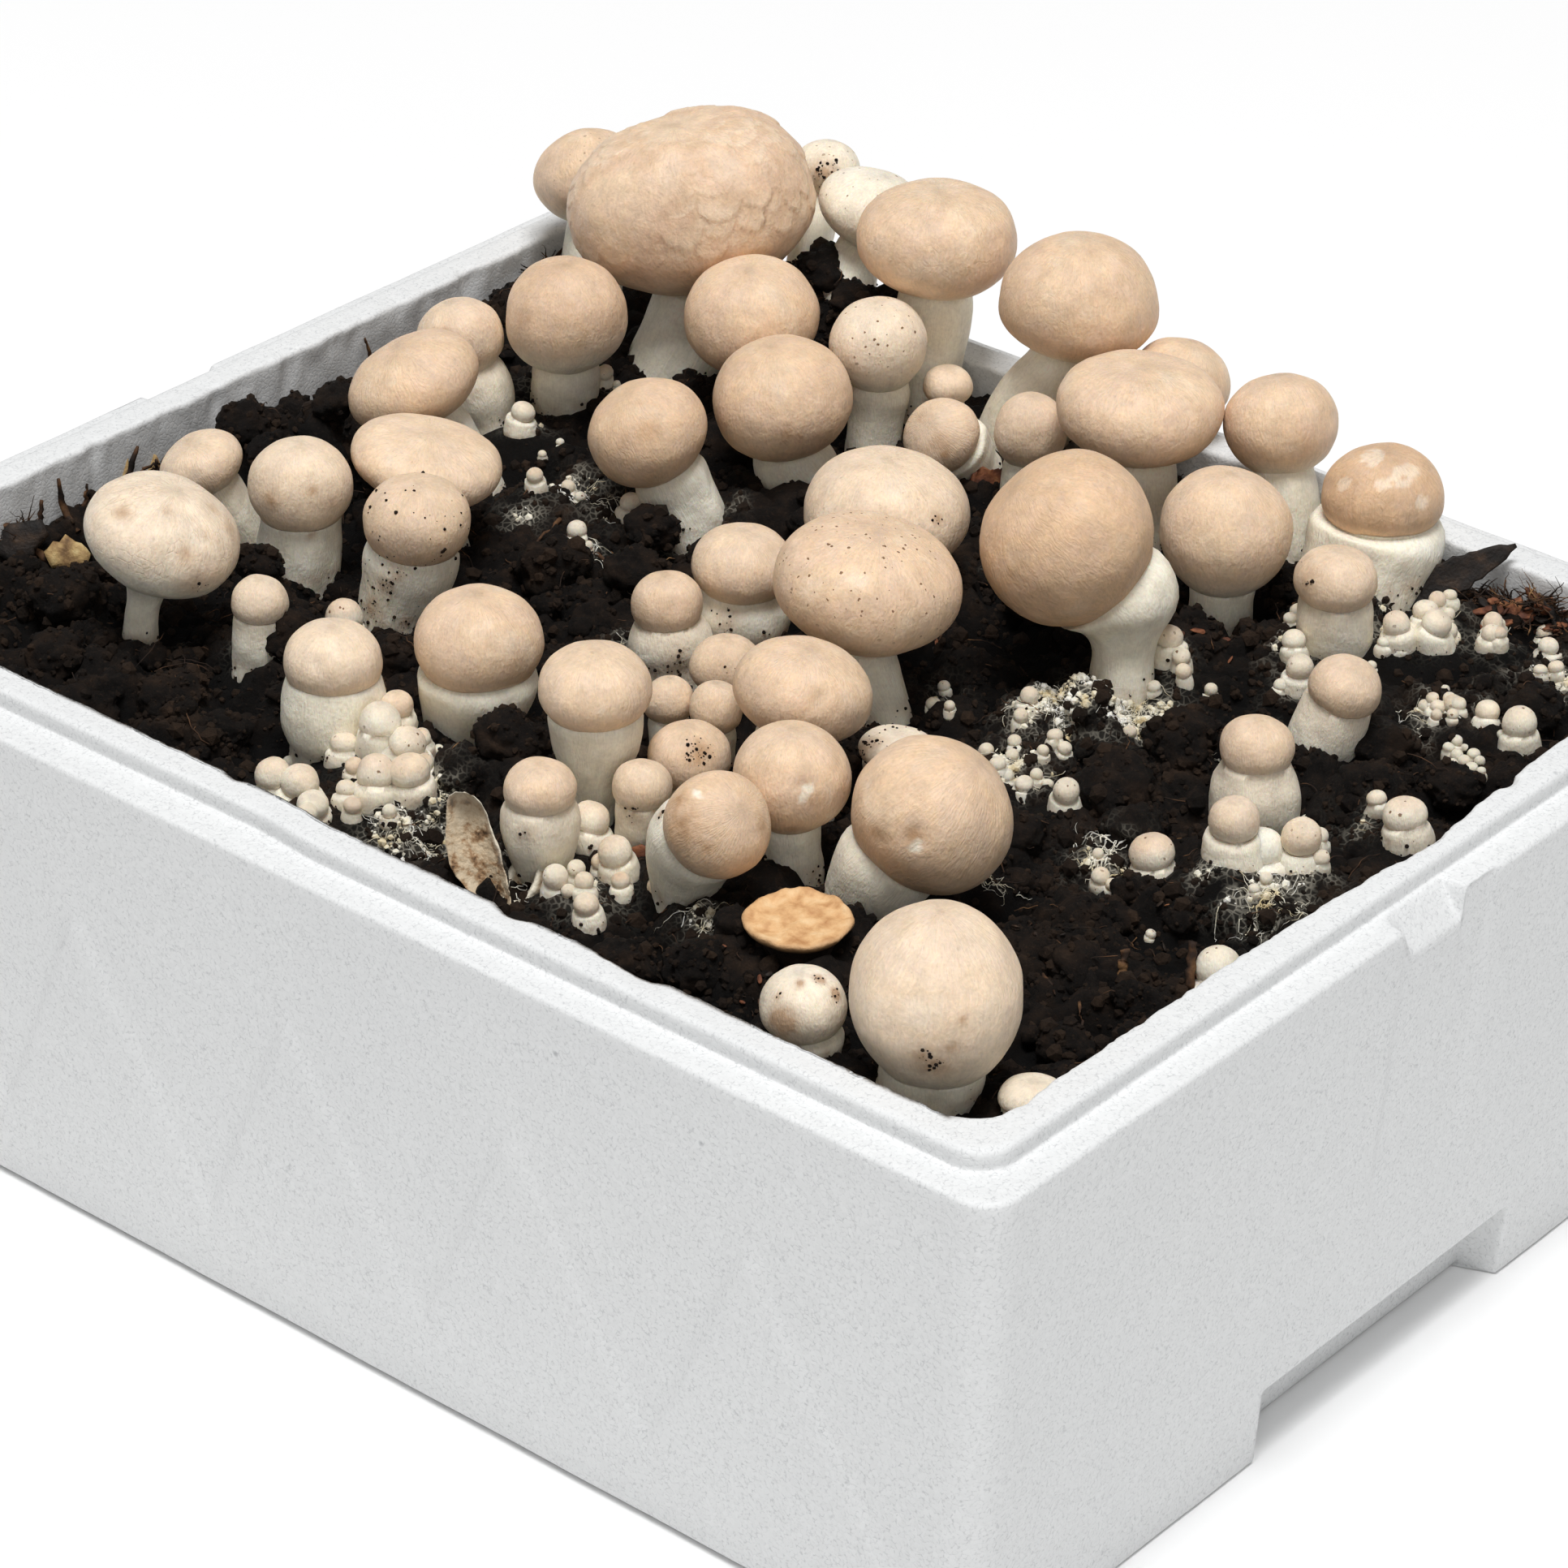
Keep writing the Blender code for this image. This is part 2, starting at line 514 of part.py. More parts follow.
def ball_over(x, y, radius, bottom, middle, sides=PIN_SIDES):
    # A button: round above, and straight down to a flat foot.
    foot = radius * PIN_FOOT
    rings = [[(x + foot * math.cos(a), y + foot * math.sin(a), bottom) for a in turns(sides)]]
    for degrees in PIN_RINGS:
        angle = math.radians(degrees)
        reach, z = radius * math.cos(angle), middle + radius * math.sin(angle)
        rings.append([(x + reach * math.cos(a), y + reach * math.sin(a), z) for a in turns(sides)])
    rings.append([(x, y, middle + radius)])
    ball = bmesh.new()
    join_rings(ball, rings)
    return ball


def turns(sides):
    return [2 * math.pi * (i + 0.5) / sides for i in range(sides)]


def pad_of_threads(x, y, radius, height, bottom):
    rings = []
    for z, share in ((bottom, 1.0), (bottom + height, PAD_TOP)):
        reach = radius * share
        rings.append([(x + reach * math.cos(a), y + reach * math.sin(a), z) for a in turns(PAD_SIDES)])
    pad = bmesh.new()
    join_rings(pad, rings)
    return pad


def make_clump(name, clump, grid, material):
    x, y, radius, height = clump["pad"]
    spots = [(x, y, radius)] + [(bx, by, br * PIN_FOOT) for bx, by, _, br in clump["buttons"]]
    ground = max(ground_under(grid, *spot) for spot in spots)
    whole = object_from(name, pad_of_threads(x, y, radius, height, ground), material, math.radians(60))
    for i, (bx, by, up, br) in enumerate(clump["buttons"]):
        ball = ball_over(bx, by, br, ground + STAGGER * (i + 1), ground + max(up, br * PIN_LOWEST))
        use_boolean(whole, helper(f"{name}_button_{i}", ball, material), "UNION")
    return whole


def make_stub(grid, material):
    ground = ground_under(grid, STUB["x"], STUB["y"], STUB["foot"])
    up = Vector((0, 0, 1))
    levels = [
        (ground, STUB["foot"]),
        (STUB["top"] - STUB["flare"], STUB["foot"] + STUB["chamfer"]),
        (STUB["top"] - STUB["rim"], STUB["radius"]),
        (STUB["top"], STUB["radius"] - STUB["chamfer"]),
    ]
    stub = bmesh.new()
    join_rings(stub, [circle(Vector((STUB["x"], STUB["y"], z)), r, up, STUB["sides"]) for z, r in levels])
    return object_from("cut_stub", stub, material)


def make_old_stem(grid, material):
    x, y, radius, sides = OLD_STEM["x"], OLD_STEM["y"], OLD_STEM["radius"], OLD_STEM["sides"]
    lean = Vector(OLD_STEM["lean"])
    foot = Vector((x, y, ground_under(grid, x, y, radius)))
    top = Vector((x + lean.x, y + lean.y, OLD_STEM["top"]))
    stem = bmesh.new()
    rings = [circle(foot, radius, Vector((0, 0, 1)), sides)]
    rings.append(circle(top, radius * OLD_STEM["tip"], lean.normalized(), sides))
    join_rings(stem, rings)
    return object_from("old_stem", stem, material)


def main():
    clear_scene()
    make_box()
    grid = soil_grid()
    make_soil(grid)
    tan = finish_material("mushroom skin", (0.66, 0.47, 0.32), 0.55)
    pale = finish_material("pale buttons", (0.78, 0.72, 0.58), 0.6)
    cut = finish_material("cut mushroom flesh", (0.68, 0.5, 0.3), 0.8)
    old = finish_material("old brown stem", (0.28, 0.18, 0.11), 0.9)
    for name, cap, sizes, foot, stem, lean in MUSHROOMS:
        make_mushroom(name, cap, sizes, foot, stem, lean, grid, tan)
    for name, clump in CLUMPS.items():
        make_clump(name, clump, grid, pale)
    make_stub(grid, cut)
    make_old_stem(grid, old)


main()
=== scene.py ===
# Button mushroom grow kit: the looks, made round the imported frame.
# Tables are in millimetres, with +X along the box and +Z up; the meshes are in metres.
import json
import math
import random
from types import SimpleNamespace

import bmesh
import bpy
import numpy as np
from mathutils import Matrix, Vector, noise
from mathutils.bvhtree import BVHTree

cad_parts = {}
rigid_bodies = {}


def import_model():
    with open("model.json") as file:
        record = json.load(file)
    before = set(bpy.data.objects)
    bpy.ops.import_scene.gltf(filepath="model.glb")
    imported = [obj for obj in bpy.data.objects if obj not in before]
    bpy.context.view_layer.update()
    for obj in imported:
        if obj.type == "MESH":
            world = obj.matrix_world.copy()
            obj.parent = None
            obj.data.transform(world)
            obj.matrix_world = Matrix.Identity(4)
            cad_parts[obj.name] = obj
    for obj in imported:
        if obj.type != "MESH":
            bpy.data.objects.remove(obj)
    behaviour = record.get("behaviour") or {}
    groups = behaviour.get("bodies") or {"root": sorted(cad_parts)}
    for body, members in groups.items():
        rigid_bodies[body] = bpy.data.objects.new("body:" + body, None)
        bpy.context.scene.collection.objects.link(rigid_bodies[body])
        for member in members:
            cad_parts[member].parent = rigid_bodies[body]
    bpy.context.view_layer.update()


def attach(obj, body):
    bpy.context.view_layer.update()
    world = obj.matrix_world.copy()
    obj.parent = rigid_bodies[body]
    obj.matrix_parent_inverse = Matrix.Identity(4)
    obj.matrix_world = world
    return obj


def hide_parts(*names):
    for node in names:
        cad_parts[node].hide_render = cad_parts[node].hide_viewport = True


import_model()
mm = 0.001
up = Vector((0, 0, 1))


# Small helpers shared by every piece

def report(text):
    print("grow kit:", text, flush=True)


def linearColour(text):
    values = [int(text[i:i + 2], 16) / 255 for i in (0, 2, 4)]
    return tuple(v / 12.92 if v <= 0.04045 else ((v + 0.055) / 1.055) ** 2.4 for v in values) + (1.0,)


def smoothStep(value, low, high):
    share = np.clip((value - low) / (high - low), 0, 1)
    return share * share * (3 - 2 * share)


def waves(points, size, seed=0.0):
    # Smooth noise from -1 to 1 at each point; size is the length of one wave in the points' unit
    shift = Vector((seed, 0.37 * seed, -0.61 * seed))
    return np.array([noise.noise(Vector(p) / size + shift) for p in points])


def addNode(tree, kind, settings=None, inputs=None):
    node = tree.nodes.new(kind)
    for key, value in (settings or {}).items():
        if key == "stops":
            ramp = node.color_ramp
            while len(ramp.elements) < len(value):
                ramp.elements.new(0.5)
            for element, (place, colour) in zip(ramp.elements, value):
                element.position = place
                element.color = linearColour(colour) if isinstance(colour, str) else (colour, colour, colour, 1)
        else:
            setattr(node, key, value)
    for key, value in (inputs or {}).items():
        if isinstance(value, bpy.types.NodeSocket):
            tree.links.new(value, node.inputs[key])
        else:
            node.inputs[key].default_value = value
    return node


def startMaterial(name, **plain):
    # A Principled shader whose plain numbers are set on its own sockets
    material = bpy.data.materials.new(name)
    material.use_nodes = True
    tree = material.node_tree
    tree.nodes.clear()
    shader = addNode(tree, "ShaderNodeBsdfPrincipled")
    for key, value in plain.items():
        shader.inputs[key.replace("_", " ")].default_value = value
    addNode(tree, "ShaderNodeOutputMaterial", None, {"Surface": shader.outputs[0]})
    return material, tree, shader


def shaderKit(name, **plain):
    # A material, and a short call for each kind of node that its colours and bumps are made of
    material, tree, shader = startMaterial(name, **plain)
    place = addNode(tree, "ShaderNodeTexCoord").outputs["Object"]

    def layer(word, out="Fac"):
        return addNode(tree, "ShaderNodeAttribute", {"attribute_name": word}).outputs[out]

    def texture(size, detail=2.0, vector=place, out=0, roughness=0.5):
        return addNode(tree, "ShaderNodeTexNoise", None, {
            "Vector": vector, "Scale": 1 / size, "Detail": detail, "Roughness": roughness}).outputs[out]

    def cells(size, vector=place, edge=False):
        feature = {"feature": "DISTANCE_TO_EDGE"} if edge else None
        return addNode(tree, "ShaderNodeTexVoronoi", feature, {"Vector": vector, "Scale": 1 / size}).outputs

    def spread(value, low, high, newLow=0.0, newHigh=1.0):
        return addNode(tree, "ShaderNodeMapRange", None, {
            "Value": value, 1: low, 2: high, 3: newLow, 4: newHigh}).outputs[0]

    def maths(kind, *values, clamp=False):
        settings = {"operation": kind, "use_clamp": clamp}
        return addNode(tree, "ShaderNodeMath", settings, dict(enumerate(values))).outputs[0]

    def vectors(kind, *values):
        return addNode(tree, "ShaderNodeVectorMath", {"operation": kind}, dict(enumerate(values))).outputs[0]

    def scaled(vector, amount):
        inputs = {0: vector, "Scale": amount}
        return addNode(tree, "ShaderNodeVectorMath", {"operation": "SCALE"}, inputs).outputs[0]

    def stretched(vector, scale):
        return addNode(tree, "ShaderNodeMapping", None, {"Vector": vector, "Scale": scale}).outputs[0]

    def blended(share, one, other):
        one, other = (linearColour(c) if isinstance(c, str) else c for c in (one, other))
        return addNode(tree, "ShaderNodeMix", {"data_type": "RGBA"}, {0: share, 6: one, 7: other}).outputs[2]

    def ramp(value, *stops):
        return addNode(tree, "ShaderNodeValToRGB", {"stops": stops}, {0: value}).outputs[0]

    def times(one, other):
        return maths("MULTIPLY", one, other, clamp=True)

    def finish(colour, roughness, height, strength, distance):
        tree.links.new(colour, shader.inputs["Base Color"])
        if roughness is not None:
            tree.links.new(roughness, shader.inputs["Roughness"])
        bump = addNode(tree, "ShaderNodeBump", None, {
            "Height": height, "Strength": strength, "Distance": distance * mm})
        tree.links.new(bump.outputs[0], shader.inputs["Normal"])
        return material

    return SimpleNamespace(
        place=place, layer=layer, texture=texture, cells=cells, spread=spread, maths=maths, vectors=vectors,
        scaled=scaled, stretched=stretched, blended=blended, ramp=ramp, times=times, finish=finish)


def driedMaterial(name, patch, stops, grain, bump, layers=(), **plain):
    # Plant matter: a patchy colour over a fine grain. patch and grain: size in mm, detail and, for the patch,
    # roughness; bump: strength and height in mm; layers: where the mesh's own layers change the colour
    kit = shaderKit(name, **plain)
    size, detail, *rough = patch
    colour = kit.ramp(kit.texture(size * mm, detail, roughness=rough[0] if rough else 0.5), *stops)
    for word, tint in layers:
        colour = kit.blended(kit.layer(word), colour, tint)
    return kit.finish(colour, None, kit.texture(grain[0] * mm, grain[1]), *bump)


def placeObject(name, data):
    thing = bpy.data.objects.new(name, data)
    bpy.context.scene.collection.objects.link(thing)
    return thing


def toPiece(name, mesh, replaced=()):
    piece = placeObject(name, mesh)
    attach(piece, "root")
    if replaced:
        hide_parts(*replaced)
    return piece


def makePiece(name, points, faces, material, replaced=(), layers=None):
    # points in millimetres; layers are named values kept at each point for the material to read
    mesh = bpy.data.meshes.new(name)
    mesh.from_pydata((np.asarray(points, float) * mm).tolist(), [], faces)
    for layer, values in (layers or {}).items():
        values = np.asarray(values, float)
        if values.ndim == 2:
            mesh.attributes.new(layer, "FLOAT_VECTOR", "POINT").data.foreach_set("vector", values.ravel())
        else:
            mesh.attributes.new(layer, "FLOAT", "POINT").data.foreach_set("value", values)
    mesh.polygons.foreach_set("use_smooth", [True] * len(mesh.polygons))
    mesh.materials.append(material)
    mesh.validate()
    mesh.update()
    return toPiece(name, mesh, replaced)


def ringFaces(rows, columns, closed=False):
    # Quads between rings of the same count. Closed, one point after the last ring and one for the first
    # follow the rings' own points
    faces = []
    for row in range(rows - 1):
        for i in range(columns):
            j = (i + 1) % columns
            a, b = row * columns, (row + 1) * columns
            faces.append((a + i, a + j, b + j, b + i))
    if closed:
        last, top = (rows - 1) * columns, rows * columns
        faces += [(last + i, last + (i + 1) % columns, top) for i in range(columns)]
        faces += [((i + 1) % columns, i, top + 1) for i in range(columns)]
    return faces


def joinParts(parts):
    # Several (points, faces, layers) in one
    points, faces, layers, count = [], [], {}, 0
    for partPoints, partFaces, partLayers in parts:
        points.append(np.asarray(partPoints, float))
        faces += [tuple(count + i for i in face) for face in partFaces]
        for layer, values in partLayers.items():
            layers.setdefault(layer, []).append(np.asarray(values, float))
        count += len(partPoints)
    return np.concatenate(points), faces, {layer: np.concatenate(values) for layer, values in layers.items()}


def makeJoined(name, parts, material, replaced=()):
    points, faces, layers = joinParts(parts)
    return makePiece(name, points, faces, material, replaced, layers)


def pointNormals(points, faces):
    # Length-one normals at the points of a mesh of quads and triangles
    normals = np.zeros_like(points)
    for count in (3, 4):
        some = np.array([face for face in faces if len(face) == count])
        if len(some):
            corners = points[some]
            across = np.cross(corners[:, 2] - corners[:, 0], corners[:, -1] - corners[:, 1])
            for k in range(count):
                np.add.at(normals, some[:, k], across)
    return normals / np.maximum(np.linalg.norm(normals, axis=1, keepdims=True), 1e-9)


# Camera, light and floor

photoView = {
    "azimuth": 39.28,  # degrees round from -Y
    "elevation": 30.16,
    "roll": -1.34,
    "place": (769.5, -928.7, 787.6),
    "lens": 129.37,
    "sensor": 36.0,
    "pixels": 1932,
}


def viewAxes():
    azimuth, elevation, roll = (math.radians(photoView[k]) for k in ("azimuth", "elevation", "roll"))
    back = Vector((
        math.sin(azimuth) * math.cos(elevation),
        -math.cos(azimuth) * math.cos(elevation),
        math.sin(elevation),
    ))
    right = Vector((math.cos(azimuth), math.sin(azimuth), 0))
    upright = back.cross(right)
    across = right * math.cos(roll) - upright * math.sin(roll)
    return across, right * math.sin(roll) + upright * math.cos(roll), back


def makeCamera():
    data = bpy.data.cameras.new("photoCamera")
    data.sensor_width = photoView["sensor"]
    data.lens = photoView["lens"]
    data.clip_start = 0.05
    data.clip_end = 50
    camera = placeObject("photoCamera", data)
    for column, axis in enumerate((*viewAxes(), Vector(photoView["place"]) * mm)):
        for row in range(3):
            camera.matrix_world[row][column] = axis[row]
    bpy.context.scene.camera = camera


def pixelRay(u, v):
    # Start, in millimetres, and direction of the line of sight through a pixel of the photograph
    across, upright, back = viewAxes()
    focal = photoView["lens"] / photoView["sensor"] * photoView["pixels"]
    middle = photoView["pixels"] / 2
    direction = across * ((u - middle) / focal) - upright * ((v - middle) / focal) - back
    return Vector(photoView["place"]), direction.normalized()


studio = {
    "sky": 0.19,
    "floor": 12000,
    "key": {"place": (600, -800, 6000), "size": 2600, "power": 345},
    "side": {"place": (-3000, -1500, 1600), "size": 1500, "power": 5},
    "front": {"place": (1950, -1750, 1350), "size": 1800, "power": 14},
}


def makeStudio():
    world = bpy.data.worlds.new("paleRoom")
    world.use_nodes = True
    world.node_tree.nodes["Background"].inputs["Color"].default_value = (1, 1, 1, 1)
    world.node_tree.nodes["Background"].inputs["Strength"].default_value = studio["sky"]
    bpy.context.scene.world = world
    bpy.context.scene.view_settings.view_transform = "Standard"
    for name in ("key", "side", "front"):
        data = bpy.data.lights.new(name + "Softbox", "AREA")
        data.size = studio[name]["size"] * mm
        data.energy = studio[name]["power"]
        light = placeObject(name + "Softbox", data)
        light.location = Vector(studio[name]["place"]) * mm
        light.rotation_euler = (Vector((0, 0, 0.1)) - light.location).to_track_quat("-Z", "Y").to_euler()
    paint, _, shader = startMaterial("paleStudioFloor", Roughness=0.9)
    shader.inputs["Base Color"].default_value = (0.95, 0.95, 0.95, 1)
    half = studio["floor"] / 2 * mm
    mesh = bpy.data.meshes.new("studioFloor")
    corners = [(-half, -half, 0), (half, -half, 0), (half, half, 0), (-half, half, 0)]
    mesh.from_pydata(corners, [], [(0, 1, 2, 3)])
    mesh.materials.append(paint)
    floor = placeObject("studioFloor", mesh)
    floor.location.z = -0.0002


makeCamera()
makeStudio()
report("camera, lights and floor are in place")


# The foam box

foamBox = {
    "foot": (192.6, 154.2),  # half sizes
    "ledge": (200.0, 161.6),
    "lipOutside": (191.4, 152.8),
    "lipInside": (182.0, 142.5),
    "bedFloor": (178.0, 138.5),
    "ledgeHeight": 131.8,
    "height": 136.4,
    "floorHeight": 18.0,
    "corner": 9.0,
    "innerCorner": 13.0,
    "columnStep": 1.65,
    "cornerSteps": 8,
    "nibble": 0.55,  # how far the lip's inner edge wanders
}
zigzag = {
    "pitch": 69.2,
    "firstPeak": -143.6,
    "peaks": 5,
    "rise": 31.0,
    "high": 91.5,
    "low": 21.5,
    "raised": 1.2,
}
# How far in the notch and the recess are at so many mm outside their ends
lidNotch = {
    "half": 13.0,
    "depth": 10.5,
    "reach": 7.5,
    "shortEnd": ((1.5, 0), (0.4, 0.0), (0.0, 0.06), (-0.35, 0.35), (-0.6, 0.75), (-0.9, 0.96), (-1.5, 1.0)),
    "longEnd": ((0.8, 0.0), (0.0, 0.02), (-0.8, 0.1), (-1.7, 0.27), (-2.7, 0.5), (-3.8, 0.76), (-4.8, 0.93),
                (-5.8, 1.0)),
}
handRecess = {
    "half": 50.0,
    "depth": 10.0,
    "shift": 4.0,
    "end": ((1.6, 0), (0.5, 0.0), (0.15, 0.05), (-0.1, 0.16), (-0.8, 0.5), (-1.6, 0.93), (-2.1, 1.0),
            (-3.0, 1.0)),
}


def foamMaterial():
    # Expanded polystyrene, moulded: pressed beads with fine short gaps between some of them, no shine
    kit = shaderKit("mouldedPolystyreneFoam", IOR=1.45)
    bead = 1.3 * mm  # the skin of the moulding shows its beads at about half their size
    bent = kit.vectors("ADD", kit.place, kit.scaled(kit.texture(bead / 0.9, out="Color"), 1.1 * mm))
    cell, gap = kit.cells(bead, bent), kit.cells(bead, bent, True)[0]
    line, some = kit.spread(gap, 0.0, 0.14, 1.0, 0.0), kit.spread(kit.texture(0.9 * mm), 0.45, 0.7)
    pit = kit.maths("MULTIPLY", line, some)
    tint = kit.blended(cell["Color"], "DFE0E0", "E6E7E7")
    aged = kit.blended(kit.spread(kit.texture(70 * mm, 3.0), 0.35, 0.75, 0.0, 0.3), tint, "DADBDC")
    # A few grey specks of dirt, each about 1 mm
    dirt = kit.cells(16 * mm)
    speck = kit.spread(dirt["Distance"], 0.025, 0.06, 0.5, 0.0)
    spot = kit.maths("MULTIPLY", speck, kit.spread(dirt["Color"], 0.72, 0.8))
    gone = kit.maths("MULTIPLY_ADD", pit, 0.45, spot, clamp=True)
    sunk = kit.maths("SUBTRACT", kit.spread(gap, 0.0, 0.25), pit)
    rough = kit.spread(cell["Distance"], 0.0, 1.0, 0.55, 0.72)
    return kit.finish(kit.blended(gone, aged, "8C8E92"), rough, sunk, 0.22, 0.15)


def boxColumns():
    # Places along each wall: share of its straight part, and how much of the recess and the notch is there
    straightX = foamBox["foot"][0] - foamBox["corner"]
    straightY = foamBox["foot"][1] - foamBox["corner"]
    topY = foamBox["ledge"][1] - foamBox["corner"] - 1

    def shares(length):
        count = round(2 * length / foamBox["columnStep"])
        return [2 * i / count - 1 for i in range(count + 1)]

    columns = []
    for side in range(4):  # right, back, left and front wall, each followed by the corner after it
        if side % 2:
            line = [(share, 0.0, 0.0) for share in shares(straightX)]
        else:
            # On the short walls the columns gather at the ends of the notch and of the hand recess
            ends = {}
            for end in (-1, 1):
                middle, half = handRecess["shift"], handRecess["half"]
                for out, push in handRecess["end"]:
                    ends[(middle + end * (half + out)) / straightY] = ("recess", push)
            half = lidNotch["half"]
            for way, end in ((1, "shortEnd"), (-1, "longEnd")):
                for out, cut in lidNotch[end]:
                    ends[way * (half + out) / topY] = ("notch", cut)
            line = []
            for share in sorted(list(shares(straightY)) + list(ends)):
                if share not in ends and min(abs(share - e) for e in ends) < 0.5 / straightY:
                    continue
                y = share * straightY - handRecess["shift"]
                push = float(abs(y) < handRecess["half"] - 2.5)
                y = share * topY
                cut = float(-lidNotch["half"] + 5.8 < y < lidNotch["half"] - 1.2)
                if share in ends:
                    kind, amount = ends[share]
                    push = amount if kind == "recess" else push
                    cut = amount if kind == "notch" else cut
                line.append((share, push, cut))
        if side in (1, 2):
            line = [(-share, push, cut) for share, push, cut in line]
        columns.append(line)
    return columns


def boxRows():
    # Rings from the middle of the underside out, up the wall, over the ledge and the lip and down inside:
    # half sizes, corner, height, push of the hand recess, and which part it belongs to
    foot, ledge = foamBox["foot"], foamBox["ledge"]
    corner, top, ledgeTop = foamBox["corner"], foamBox["height"], foamBox["ledgeHeight"]
    rows = []

    def add(half, less, cornerHere, z, push=0.0, part="wall"):
        rows.append((half[0] - less, half[1] - less, max(cornerHere, 1.0), z, push, part))

    def wallHalf(z):
        share = z / ledgeTop
        return [low + (high - low) * share for low, high in zip(foot, ledge)]

    add(foot, 30, corner, 0, 0.0, "under")
    add(foot, 14, corner, 0, 0.0, "under")
    add(foot, 1.2, corner - 1, 0, 1.0, "under")
    add(foot, 0.3, corner, 0.4, 1.0, "wall")
    for z, push in ((1.4, 1), (4, 1), (8, 1), (12, 1), (16, 1), (18.5, 1), (19.6, 1), (20.1, 0.97), (20.35, 0.85),
                    (20.45, 0.5), (20.5, 0.16), (20.7, 0.05), (21.2, 0.0)):
        add(wallHalf(z), 0, corner, z, push)
    count = 46
    for i in range(1, count + 1):
        z = 21.2 + (ledgeTop - 1.2 - 21.2) * i / count  # from over the recess to under the ledge
        add(wallHalf(z), 0, corner, z)
    add(ledge, 0.25, corner, ledgeTop - 0.55)
    add(ledge, 0.8, corner, ledgeTop - 0.12, 0, "ledge")
    for less in (1.5, 2.5, 3.6, 4.8, 6.0, 7.2, 7.9):
        add(ledge, less, corner, ledgeTop, 0, "ledge")
    outside, inside = foamBox["lipOutside"], foamBox["lipInside"]
    for less, z in ((-0.25, 131.87), (-0.02, 132.15), (0.05, 132.8), (0.15, 134.0), (0.25, 135.0), (0.45, 135.7),
                    (0.95, 136.2), (1.7, 136.4)):
        add(outside, less, corner + 0.5, z, 0, "lipOutside")
    for share in (0.2, 0.45, 0.7, 0.9):
        half = [a + (b - a) * share for a, b in zip([h - 1.7 for h in outside], [h + 1.1 for h in inside])]
        rows.append((*half, corner + 3 * share, top, 0.0, "lipTop"))
    for less, z in ((-1.1, 136.38), (-0.55, 136.15), (-0.15, 135.7), (0.0, 135.0), (0.0, 133.8), (0.05, 132.4),
                    (0.1, 131), (0.15, 129.4), (0.25, 127.5), (0.35, 125), (0.5, 121), (0.7, 115), (1.1, 102),
                    (2.6, 60), (4.0, foamBox["floorHeight"])):
        add(inside, less, foamBox["innerCorner"], z, 0, "inside")
    add(foamBox["bedFloor"], 30, foamBox["innerCorner"], foamBox["floorHeight"], 0, "inside")
    return rows


def zigzagRelief(x, z):
    # How much of the raised panel there is at a place on a long wall, from 0 to 1
    best = zigzag["low"] - z
    for i in range(zigzag["peaks"]):
        peak = zigzag["firstPeak"] + i * zigzag["pitch"]
        tall = zigzag["high"] - zigzag["low"]
        lean = math.hypot(tall, zigzag["rise"])
        rising = ((x - peak + zigzag["rise"]) * tall - (z - zigzag["low"]) * zigzag["rise"]) / lean
        run = zigzag["pitch"] - zigzag["rise"]
        lean = math.hypot(tall, run)
        falling = ((peak + run - x) * tall - (z - zigzag["low"]) * run) / lean
        both = -np.logaddexp(-rising / 1.5, -falling / 1.5) * 1.5
        best = np.maximum(best, both)
    fade = smoothStep(z, 0.3, 2.5) * (1 - smoothStep(np.abs(x), 172, 181))
    return smoothStep(best, -1.3, 0.9) * fade


def boxPoint(side, share, row, corner=None):
    halfX, halfY, bend, z = row[:4]
    if corner is not None:
        signX, signY = ((1, 1), (-1, 1), (-1, -1), (1, -1))[side]
        angle = math.pi / 2 * (side + corner)
        x = signX * (halfX - bend) + bend * math.cos(angle)
        return x, signY * (halfY - bend) + bend * math.sin(angle), z
    if side % 2:
        return share * (halfX - bend), halfY if side == 1 else -halfY, z
    return halfX if side == 0 else -halfX, share * (halfY - bend), z


